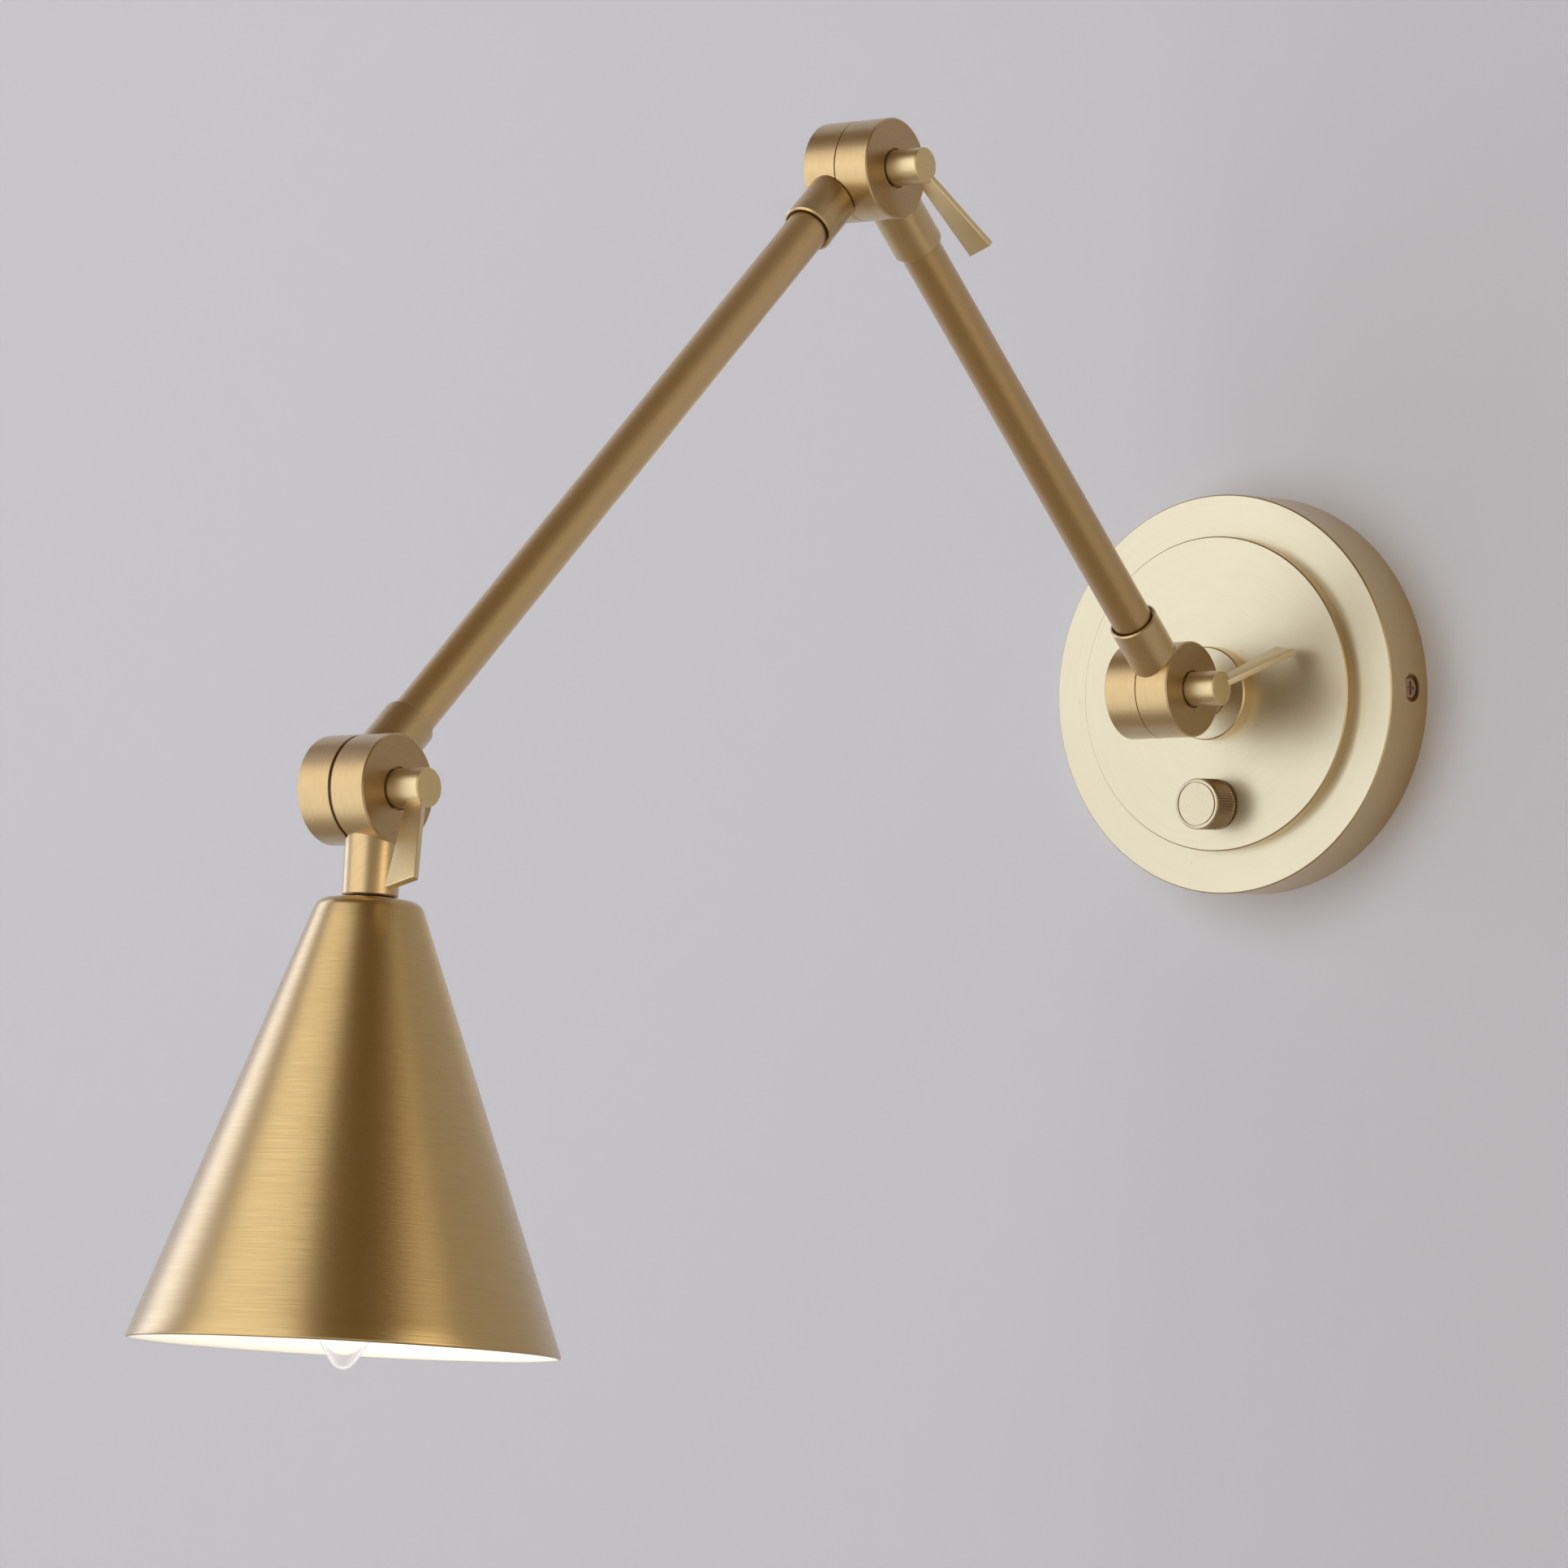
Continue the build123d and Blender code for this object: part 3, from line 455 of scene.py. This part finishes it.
barrel_r = 0.0054
barrel_length = 0.0123
barrel_bore_r = 0.00305
barrel_round = 0.0005
blade_t = 0.002
blade_root_r = 0.004
blade_root_w = 0.0054
blade_tip_r = 0.0316
blade_tip_w = 0.0094
blade_splay = 0.0076
blade_end_cut = radians(20)
blade_bevel = 0.00022
lever_end_reach = 0.006
sand_lines = 2200.0
lever_colour = (0.72, 0.56, 0.27)
# Painted shade: the barrel's end faces near the pivot get this darker colour.
painted_shade_end_colour = (0.70, 0.50, 0.17)
for knuckle, lever_angle in (("wall", 22.9), ("elbow", -48.8), ("head", -124.5)):
    pivot = pivots[f"{knuckle}_pivot"]
    line_foot = Vector((0, pivot.y, pivot.z))
    barrel_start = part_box(f"{knuckle}_lever")[0].x
    barrel_end = barrel_start + barrel_length
    radial = Vector((0, cos(radians(lever_angle)), sin(radians(lever_angle))))
    root_x = barrel_end - blade_root_w / 2
    tip_x = root_x + blade_splay
    cut_x = cos(blade_end_cut) * blade_tip_w / 2
    cut_r = sin(blade_end_cut) * blade_tip_w / 2
    outline = (
        (root_x - blade_root_w / 2, blade_root_r),
        (root_x + blade_root_w / 2, blade_root_r),
        (tip_x + cut_x, blade_tip_r - cut_r),
        (tip_x - cut_x, blade_tip_r + cut_r),
    )
    casting = bmesh.new()
    half_t = along_pivot.cross(radial) * blade_t / 2
    rows = []
    for side in (-1, 1):
        flat = [line_foot + along_pivot * x + radial * r + half_t * side for x, r in outline]
        rows.append([casting.verts.new(corner) for corner in flat])
    casting.faces.new(rows[0])
    casting.faces.new(rows[1])
    for step in range(len(outline)):
        after = (step + 1) % len(outline)
        casting.faces.new((rows[0][step], rows[0][after], rows[1][after], rows[1][step]))
    edges = casting.edges[:]
    bmesh.ops.bevel(
        casting, geom=edges, offset=blade_bevel, segments=3, profile=0.5, affect="EDGES"
    )
    round_centre = (barrel_r - barrel_round, barrel_end - barrel_round)
    barrel = [(barrel_bore_r, barrel_start + barrel_bore_r), (barrel_bore_r, barrel_start)]
    barrel += [(barrel_r - barrel_round / 2, barrel_start)]
    barrel += [(barrel_r, barrel_start + barrel_round / 2)]
    barrel += arc(round_centre, barrel_round, 0, 90, 4)
    turn(casting, barrel + [(0, barrel_end)], line_foot, along_pivot, segments=56)
    lever = piece_from(casting, f"{knuckle}_lever_casting", sharp_angle=32)
    lever_brass = satin_brass(
        f"{knuckle}_lever_brass",
        lever_colour,
        0.42,
        lambda place: vector_maths(place, "SCALE", place, scale=sand_lines),
        brush_depth=0.00003,
        streaks=0.2,
        faces=(pivot, along_pivot, lever_end_reach, painted_shade_end_colour),
    )
    lever.data.materials.append(lever_brass)
    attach(lever, f"{knuckle}_lever_set")
    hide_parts(f"{knuckle}_lever")
finish(plated_steel, "wall_clamp_screw", "elbow_clamp_screw", "head_clamp_screw")

# ---------------------------------------------------------------- shade
# Spun from brass sheet: a flat top, a rounded shoulder and a straight cone, brushed in rings
# outside and cream enamel inside, its mouth's edge rounded. A nipple and locknut hold it to the
# stem, over a fibre gasket.


def extent(node, origin, direction):
    """How far a CAD node reaches along a line, lowest and highest, and away from it."""
    out = [vertex.co - origin for vertex in nodes[node].data.vertices]
    along = [point.dot(direction) for point in out]
    away = [(point - direction * reach).length for point, reach in zip(out, along)]
    return min(along), max(along), max(away)


shade_box_low, shade_box_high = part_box("shade")
stem_x = (shade_box_low.x + shade_box_high.x) / 2
stem_origin = Vector((stem_x, pivots["head_pivot"].y, pivots["head_pivot"].z))
shade_tilt = radians(6.2)
stem_down = Vector((0, -sin(shade_tilt), -cos(shade_tilt)))

shade_top, shade_mouth, mouth_r = extent("shade", stem_origin, stem_down)
shade_wall = 0.0012
shade_hole_r = 0.0051
slope_degrees = 20.3
shade_slope = radians(slope_degrees)
shoulder_r = 0.004
rim_r = shade_wall / 2
top_r = mouth_r - (shade_mouth - shade_top) * tan(shade_slope)
shoulder_set_back = shoulder_r * tan(pi / 4 - shade_slope / 2)
shoulder_centre = (top_r - shoulder_set_back, shade_top + shoulder_r)
rim_set_back = rim_r / cos(shade_slope) + rim_r * tan(shade_slope)
rim_centre = (mouth_r - rim_set_back, shade_mouth - rim_r)

outer = [(shade_hole_r, shade_top)]
outer += arc(shoulder_centre, shoulder_r, -90, -slope_degrees, 12)
rim = arc(rim_centre, rim_r, -slope_degrees, 180 - slope_degrees, 10)
inner = arc(shoulder_centre, shoulder_r - shade_wall, -slope_degrees, -90, 8)
inner += [(shade_hole_r, shade_top + shade_wall)]
cone_rows = 24
cone = []
start, end = outer[-1], rim[0]
for row in range(1, cone_rows):
    share = row / cone_rows
    cone.append(tuple(low + (high - low) * share for low, high in zip(start, end)))
spinning = bmesh.new()
turn(spinning, outer + cone + rim + inner + outer[:1], stem_origin, stem_down, segments=224)
shade = piece_from(spinning, "shade_shell", sharp_angle=60)

shade_brass = satin_brass(
    "shade_brass",
    (0.585, 0.41, 0.16),
    0.33,
    lambda place: rings(place, stem_origin, stem_down, lines_per_metre=3400.0),
    brush_depth=0.00002,
    streaks=0.5,
    coat_ior=1.5,
)
cream_enamel = coated("cream_enamel", (0.92, 0.89, 0.82), 0.35, 500.0, 0.00001, mottle=0.97)
shade.data.materials.append(shade_brass)
shade.data.materials.append(cream_enamel)
for face in shade.data.polygons:
    middle = face.center - stem_origin
    along = middle.dot(stem_down)
    radius = (middle - stem_down * along).length
    cone_r = mouth_r - (shade_mouth - along) * tan(shade_slope)
    under_top = along > shade_top + shade_wall * 0.9
    inside = radius < min(cone_r, top_r + along) - shade_wall * 0.75
    face.material_index = 1 if under_top and inside else 0
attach(shade, "lamp_head")
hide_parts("shade")
finish(black_fibre, "shade_gasket")
finish(plated_steel, "shade_nipple", "shade_locknut")

# ---------------------------------------------------------------- lampholder
# Black moulded cup with a brass screw shell and contact, screwed to the nipple's lower end, deep
# inside the shade.
black_moulding = coated("black_moulding", (0.02, 0.02, 0.022), 0.35, 700.0, 0.00004)
finish(black_moulding, "socket_body")
lampholder_brass = plated_metal("lampholder_brass", (0.66, 0.52, 0.28), 0.25)
finish(lampholder_brass, "socket_screw_shell", "socket_contact")

# ---------------------------------------------------------------- bulb
# Candle bulb, blown from clear glass with a drawn tip, over a glass mount and two posts that carry
# a coiled tungsten filament. Its brass screw cap sits in the lampholder.


def clear_glass_material(name, colour):
    """Clear glass with a little dust, and a painted sheen: an emission glow, faint face on and
    strongest where the wall is seen edge on.
    """
    dust_scale = 240.0
    dust_roughness = 0.04
    edge_blend = 0.25
    painted_glow_face_on = (0.05, 0.045, 0.045)
    painted_glow_edge_on = (1.0, 0.97, 0.92)
    material, wire = start_material(name)
    place = wire.node("ShaderNodeTexCoord", output="Object")
    dust = noise(place, dust_scale, 3.0)
    edge = wire.node("ShaderNodeLayerWeight", {}, {"Blend": edge_blend}, output=1)
    cover(
        wire,
        {
            "Base Color": (*colour, 1),
            "Roughness": dust * dust_roughness,
            "IOR": 1.47,
            "Transmission Weight": 1.0,
            # Painted sheen: the glass glows by emission, most where its wall is seen edge on.
            "Emission Color": mixed(edge * edge, painted_glow_face_on, painted_glow_edge_on),
            "Emission Strength": 0.7,
        },
    )
    return material


clear_glass = clear_glass_material("clear_glass", (1.0, 0.985, 0.97))
finish(clear_glass, "bulb_mount")
finish(lampholder_brass, "bulb_cap", "bulb_contact")
glass_foot, glass_tip, bulb_r = extent("bulb_glass", stem_origin, stem_down)
glass_wall = 0.00035
bulb_neck_r = 0.0053
bulb_tip_r = 0.0038
glass_rim = glass_tip - 0.07915
glass_widest = glass_tip - 0.046
joined_within = 0.000001


def blown(wall):
    """The bulb's half section, set in by a wall: neck, an S to the belly, a taper, the tip."""
    neck, belly, tip_r = bulb_neck_r - wall, bulb_r - wall, bulb_tip_r - wall
    tip = glass_tip - wall
    swell, rise = (belly - neck) / 2, (glass_widest - glass_rim) / 2
    swell_r = (swell**2 + rise**2) / (2 * swell)
    swell_turn = degrees(atan2(rise, swell_r - swell))
    tip_rise = tip - tip_r - glass_widest
    taper_r = (belly**2 + tip_rise**2 - tip_r**2) / (2 * (belly - tip_r))
    taper_turn = degrees(atan2(tip_rise, taper_r - belly))
    section = [(neck, glass_foot)]
    section += arc((neck + swell_r, glass_rim), swell_r, 180, 180 - swell_turn, 12)
    section += arc((belly - swell_r, glass_widest), swell_r, -swell_turn, 0, 12)[1:]
    section += arc((belly - taper_r, glass_widest), taper_r, 0, taper_turn, 32)[1:]
    section += arc((0, tip - tip_r), tip_r, taper_turn, 90, 20)[1:-1]
    return section + [(0, tip)]


blowing = bmesh.new()
turn(blowing, blown(0), stem_origin, stem_down, segments=96)
turn(blowing, blown(0)[:1] + blown(glass_wall), stem_origin, stem_down, segments=96)
bmesh.ops.remove_doubles(blowing, verts=blowing.verts, dist=joined_within)
bulb = piece_from(blowing, "blown_bulb", sharp_angle=60)
bulb.data.materials.append(clear_glass)
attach(bulb, "lamp_head")
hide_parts("bulb_glass")


def wire_along(mesh, points, radius, sides):
    """Adds a round wire through the points, closed at both ends."""
    turns = [2 * pi * corner / sides for corner in range(sides)]
    last = len(points) - 1
    loops = []
    for step, point in enumerate(points):
        heading = (points[min(step + 1, last)] - points[max(step - 1, 0)]).normalized()
        side = heading.cross(out_of_wall).normalized()
        front = heading.cross(side)
        rim = [point + (side * cos(t) + front * sin(t)) * radius for t in turns]
        loops.append([mesh.verts.new(corner) for corner in rim])
    for near, far in zip(loops, loops[1:]):
        for corner in range(sides):
            after = (corner + 1) % sides
            mesh.faces.new((near[corner], near[after], far[after], far[corner]))
    mesh.faces.new(loops[0])
    mesh.faces.new(loops[-1])


filament_wire = plated_metal("filament_wire", (0.45, 0.43, 0.40), 0.3)
filament_low, filament_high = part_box("bulb_filament")
post_r = 0.00025
post_foot_reach = 0.001
post_sunk = 0.001
coil_end_set_back = 0.0028
coil_rise = 0.0021
coil_wire_r = 0.00009
coil_r = 0.00034
coil_turns = 22
coil_steps = 10
post_reach = (filament_high.x - filament_low.x) / 2 - post_r - coil_wire_r
post_foot = extent("bulb_mount", stem_origin, stem_down)[1] - post_sunk
post_top = extent("bulb_filament", stem_origin, stem_down)[1] - coil_end_set_back
coil_top = post_top + coil_rise
winding = bmesh.new()
for side in (-1, 1):
    foot = stem_origin + stem_down * post_foot + along_pivot * side * post_foot_reach
    end = stem_origin + stem_down * post_top + along_pivot * side * post_reach
    crown = stem_origin + stem_down * coil_top
    wire_along(winding, [foot, end], post_r, sides=8)
    run = crown - end
    coil_side = run.normalized().cross(out_of_wall).normalized()
    coil_front = run.normalized().cross(coil_side)
    coil = []
    for step in range(coil_turns * coil_steps + 1):
        t = 2 * pi * step / coil_steps
        centre = end + run * step / (coil_turns * coil_steps)
        coil.append(centre + (coil_side * cos(t) + coil_front * sin(t)) * coil_r)
    wire_along(winding, coil, coil_wire_r, sides=5)
filament = piece_from(winding, "filament_coils", sharp_angle=60)
filament.data.materials.append(filament_wire)
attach(filament, "lamp_head")
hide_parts("bulb_filament")

# ---------------------------------------------------------------- dimmer
# Turned brass knob, knurled between two plain bands, with a ring round its flat face; its brass is
# coloured dark as painted shade on the knurled side, its flat face paler as painted highlight. A
# set screw holds it on the plated shaft of the black dimmer body, which a nut clamps behind the
# plate.
finish(black_moulding, "dimmer_body")
finish(plated_steel, "dimmer_nut", "dimmer_shaft", "knob_set_screw")
knob_low, knob_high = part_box("dimmer_knob")
knob_r = (knob_high.x - knob_low.x) / 2
knob_height = knob_high.y - knob_low.y
knob_foot = Vector((0, knob_high.y, (knob_low.z + knob_high.z) / 2))
knob_well_r = 0.0065
knob_well_depth = 0.0036
knob_shaft_r = 0.0031
knob_edge = 0.0004
knob_face_reach = 0.02
knurl_teeth = 56
knurl_depth = 0.0004
foot_band = 0.0011
neck_depth = 0.0005
neck_start = knob_height - 0.0017
neck_end = knob_height - 0.0012
groove_out, groove_in, groove_depth = 0.00715, 0.00665, 0.0004
points_per_tooth = 4
around = knurl_teeth * points_per_tooth
knob_profile = [
    (knob_shaft_r, knob_well_depth, 0),
    (knob_well_r, knob_well_depth, 0),
    (knob_well_r, 0, 0),
    (knob_r - knob_edge, 0, 0),
    (knob_r, knob_edge, 0),
    (knob_r, foot_band, 0),
    (knob_r, foot_band + knurl_depth, 1),
    (knob_r, neck_start - knurl_depth, 1),
    (knob_r - neck_depth / 2, neck_start, 0),
    (knob_r - neck_depth, neck_start, 0),
    (knob_r - neck_depth, neck_end, 0),
    (knob_r - knob_edge / 3, neck_end, 0),
    (knob_r, neck_end + knob_edge / 3, 0),
    (knob_r, knob_height - knob_edge, 0),
    (knob_r - knob_edge / 3, knob_height - knob_edge / 3, 0),
    (knob_r - knob_edge, knob_height, 0),
    (groove_out, knob_height, 0),
    (groove_out - groove_depth / 4, knob_height - groove_depth, 0),
    (groove_in + groove_depth / 4, knob_height - groove_depth, 0),
    (groove_in, knob_height, 0),
]
turning = bmesh.new()
knob_rings = []
for radius, along, knurled in knob_profile:
    ring = []
    for step in range(around):
        valley = abs((step % points_per_tooth) * 2 / points_per_tooth - 1)
        r = radius - knurled * knurl_depth * valley
        t = 2 * pi * step / around
        ring.append(turning.verts.new(knob_foot + Vector((r * cos(t), -along, r * sin(t)))))
    knob_rings.append(ring)
for near, far in zip(knob_rings, knob_rings[1:]):
    for step in range(around):
        after = (step + 1) % around
        turning.faces.new((near[step], near[after], far[after], far[step]))
turning.faces.new(knob_rings[-1])
knob = piece_from(turning, "knurled_knob", sharp_angle=28)
# Painted shade on the knurled side and painted highlight on the flat face.
knob_brass = satin_brass(
    "knob_brass",
    (0.36, 0.22, 0.08),
    0.40,
    lambda place: rings(place, knob_foot, out_of_wall),
    brush_depth=0.00001,
    streaks=0.25,
    faces=(knob_foot, out_of_wall, knob_face_reach, (0.61, 0.53, 0.34)),
)
knob.data.materials.append(knob_brass)
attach(knob, "dimmer_control")
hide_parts("dimmer_knob")

# ---------------------------------------------------------------- wall and floor
# A painted plaster wall behind the lamp, open where the wall box sits behind the plate, a pale
# return wall far out on each side and a plain pale floor far under it.


def stage_piece(name, corners, faces, material):
    data = bpy.data.meshes.new(name)
    data.from_pydata(corners, [], faces)
    piece = bpy.data.objects.new(name, data)
    piece.data.materials.append(material)
    bpy.context.scene.collection.objects.link(piece)


def background_rays(wire):
    """One for the rays that show a background: to the camera, off metal and through glass."""
    seen = wire.node("ShaderNodeLightPath", output="Is Camera Ray")
    outputs = seen.socket.node.outputs
    for kind in ("Is Glossy Ray", "Is Transmission Ray"):
        seen = seen + Wire(wire.tree, outputs[kind])
    return seen


def paint(name, colour, glow_colour, glow, roller_depth):
    """Matt paint with a roller's grain. The background's rays see a share of the glow colour, and
    from behind it is clear."""
    roller_scale = 60.0
    material, wire = start_material(name)
    place = wire.node("ShaderNodeTexCoord", output="Object")
    roller = noise(place, roller_scale, 4.0)
    matt = wire.node(
        "ShaderNodeBsdfPrincipled",
        {},
        {
            "Base Color": (*colour, 1),
            "Roughness": 0.8,
            "Specular IOR Level": 0.2,
            "Normal": relief(roller * roller_depth),
        },
    )
    light = wire.node("ShaderNodeEmission", {}, {"Color": (*glow_colour, 1), "Strength": 1.0})
    share = background_rays(wire) * glow(place)
    lit = wire.node("ShaderNodeMixShader", {}, {0: share, 1: matt, 2: light})
    behind = wire.node("ShaderNodeNewGeometry", output="Backfacing")
    clear = wire.node("ShaderNodeBsdfTransparent")
    surface = wire.node("ShaderNodeMixShader", {}, {0: behind, 1: lit, 2: clear})
    wire.node("ShaderNodeOutputMaterial", {}, {"Surface": surface})
    return material


def far_glow(place):
    """No glow on the floor under the lamp, and a full one farther out, where it gets no light."""
    glow_start, glow_full, full_share = 2.3, 3.0, 0.9
    distance = vector_maths(place, "LENGTH", place, output="Value")
    return ramp(distance, glow_start, glow_full, 0.0, full_share)


wall_reach = 5.0
wall_box = 0.042
floor_z = -1.9
floor_reach = 3.0
ceiling_z = 2.2
side_wall_x = 3.5
side_wall_reach = 1.7
wall_paint = paint(
    "wall_paint", (0.86, 0.89, 0.97), (0.64, 0.67, 0.74), lambda place: 0.06, 0.0004
)
side_paint = paint(
    "side_paint", (0.80, 0.80, 0.80), (0.56, 0.56, 0.58), lambda place: 0.9, 0.0004
)
floor_paint = paint("floor_paint", (0.70, 0.61, 0.48), (0.58, 0.57, 0.57), far_glow, 0.0002)
wall_corners = [
    (-wall_reach, 0, floor_z),
    (wall_reach, 0, floor_z),
    (wall_reach, 0, ceiling_z),
    (-wall_reach, 0, ceiling_z),
    (-wall_box, 0, -wall_box),
    (wall_box, 0, -wall_box),
    (wall_box, 0, wall_box),
    (-wall_box, 0, wall_box),
]
wall_faces = [(0, 1, 5, 4), (1, 2, 6, 5), (2, 3, 7, 6), (3, 0, 4, 7)]
stage_piece("wall", wall_corners, wall_faces, wall_paint)
for side, x in (("left", -side_wall_x), ("right", side_wall_x)):
    side_corners = [
        (x, -side_wall_reach, floor_z),
        (x, 0, floor_z),
        (x, 0, ceiling_z),
        (x, -side_wall_reach, ceiling_z),
    ]
    inward = (0, 1, 2, 3) if x < 0 else (3, 2, 1, 0)
    stage_piece(f"{side}_wall", side_corners, [inward], side_paint)
floor_corners = [
    (-side_wall_x, -floor_reach, floor_z),
    (side_wall_x, -floor_reach, floor_z),
    (side_wall_x, 0, floor_z),
    (-side_wall_x, 0, floor_z),
]
stage_piece("floor", floor_corners, [(0, 1, 2, 3)], floor_paint)

# ---------------------------------------------------------------- lamps and world
# One large soft box from the left in front. Metal sees it as a wider panel in two parts, the lower
# one weaker by the pale horizon behind it, and sees a strip on each side of the lamp. The room is
# dim and warm above, and pale below for the rays that show a background.


def soft_box(name, place, target, width, height, radiance, colour):
    """A flat lamp that faces the target, as bright per area as the radiance says."""
    data = bpy.data.lights.new(name, "AREA")
    data.shape = "RECTANGLE"
    data.size = width
    data.size_y = height
    data.energy = radiance * pi * width * height
    data.color = colour
    lamp = bpy.data.objects.new(name, data)
    lamp.location = place
    lamp.rotation_euler = (target - place).to_track_quat("-Z", "Y").to_euler()
    lamp.visible_camera = False
    bpy.context.scene.collection.objects.link(lamp)
    return lamp


lamp_middle = Vector((0, -0.25, 0.0))
key_radiance = 1.52
key_colour = (0.95, 1.0, 1.07)
key_distance = 1.7
key_width, key_height = 1.9, 2.8
key_place = lamp_middle + Vector((-0.36, -0.90, 0.12)).normalized() * key_distance
key = soft_box("key", key_place, lamp_middle, key_width, key_height, key_radiance, key_colour)
key.visible_glossy = False
key.visible_transmission = False

horizon_radiance = 0.60
panel_distance = 1.55
panel_out = Vector((-0.29, -0.90, 0.0)).normalized() * panel_distance
panel_width = 1.96
panel_reach = 1.65
panel_seam = 0.25
panel_parts = (
    ("upper_panel", panel_seam, panel_reach, key_radiance),
    ("lower_panel", -panel_reach, panel_seam, key_radiance - horizon_radiance),
)
for name, low_edge, high_edge, radiance in panel_parts:
    middle = lamp_middle + Vector((0, 0, (low_edge + high_edge) / 2))
    place = middle + panel_out
    panel_height = high_edge - low_edge
    panel = soft_box(name, place, middle, panel_width, panel_height, radiance, key_colour)
    panel.visible_diffuse = False

head_middle = Vector((0, -0.46, -0.1))
fills = (
    ("left_fill", Vector((-1.5, -0.48, 0.18)), 0.6, 2.1, 1.8, (0.88, 1.0, 1.38)),
    ("right_fill", Vector((1.5, -0.46, 0.05)), 0.7, 1.6, 1.5, (1.0, 0.92, 0.76)),
)
for name, place, width, height, radiance, colour in fills:
    fill = soft_box(name, place, head_middle, width, height, radiance, colour)
    fill.visible_diffuse = False

mouth_lamp_r = 0.056
mouth_lamp_gap = 0.001
mouth_radiance = 1.5
glow = bpy.data.lights.new("inside_shade", "AREA")
glow.shape = "DISK"
glow.size = 2 * mouth_lamp_r
glow.energy = mouth_radiance * pi * pi * mouth_lamp_r**2
glow.color = (1.0, 0.97, 0.90)
mouth_lamp = bpy.data.objects.new("inside_shade", glow)
mouth_lamp.location = stem_origin + stem_down * (shade_mouth + mouth_lamp_gap)
mouth_lamp.rotation_euler = (-stem_down).to_track_quat("-Z", "Y").to_euler()
mouth_lamp.visible_camera = False
mouth_lamp.visible_glossy = False
mouth_lamp.visible_transmission = False
bpy.context.scene.collection.objects.link(mouth_lamp)
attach(mouth_lamp, "lamp_head")

world = bpy.data.worlds.new("studio")
world.use_nodes = True
world.node_tree.nodes.clear()
room = Wire(world.node_tree, None)
outlook = room.node("ShaderNodeTexCoord", output="Generated")
height = room.node("ShaderNodeSeparateXYZ", {}, {"Vector": outlook}, output=2)
pale_start, pale_full = 0.30, 0.05
low = ramp(height, pale_start, pale_full, 0.0, 1.0)
warm_colour, warm_strength = (1.0, 0.62, 0.26, 1), 0.17
pale_colour = (0.58, 0.58, 0.60, 1)
warm = room.node("ShaderNodeBackground", {}, {"Color": warm_colour, "Strength": warm_strength})
pale = room.node("ShaderNodeBackground", {}, {"Color": pale_colour, "Strength": 1.0})
sky = room.node("ShaderNodeMixShader", {}, {0: background_rays(room) * low, 1: warm, 2: pale})
room.node("ShaderNodeOutputWorld", {}, {"Surface": sky})
bpy.context.scene.world = world

# ---------------------------------------------------------------- camera
# Long lens from the right in front, level with the lamp and rolled a little, at the place that the
# plate's and knuckles' ellipses give.
camera_data = bpy.data.cameras.new("camera")
camera_data.sensor_width = 36.0
camera_data.lens = 168.7
camera_data.clip_end = 50.0
camera = bpy.data.objects.new("camera", camera_data)
camera_place = (1.2931, -1.9683, -0.0956)
azimuth, elevation, roll = radians(37.01), radians(-1.69), radians(-0.75)
back = Vector((sin(azimuth) * cos(elevation), -cos(azimuth) * cos(elevation), sin(elevation)))
level = Vector((cos(azimuth), sin(azimuth), 0))
upright = back.cross(level)
right = level * cos(roll) + upright * sin(roll)
up = upright * cos(roll) - level * sin(roll)
facing = Matrix((right, up, back)).transposed().to_4x4()
camera.matrix_world = Matrix.Translation(camera_place) @ facing
bpy.context.scene.collection.objects.link(camera)
bpy.context.scene.camera = camera
bpy.context.scene.view_settings.view_transform = "Standard"
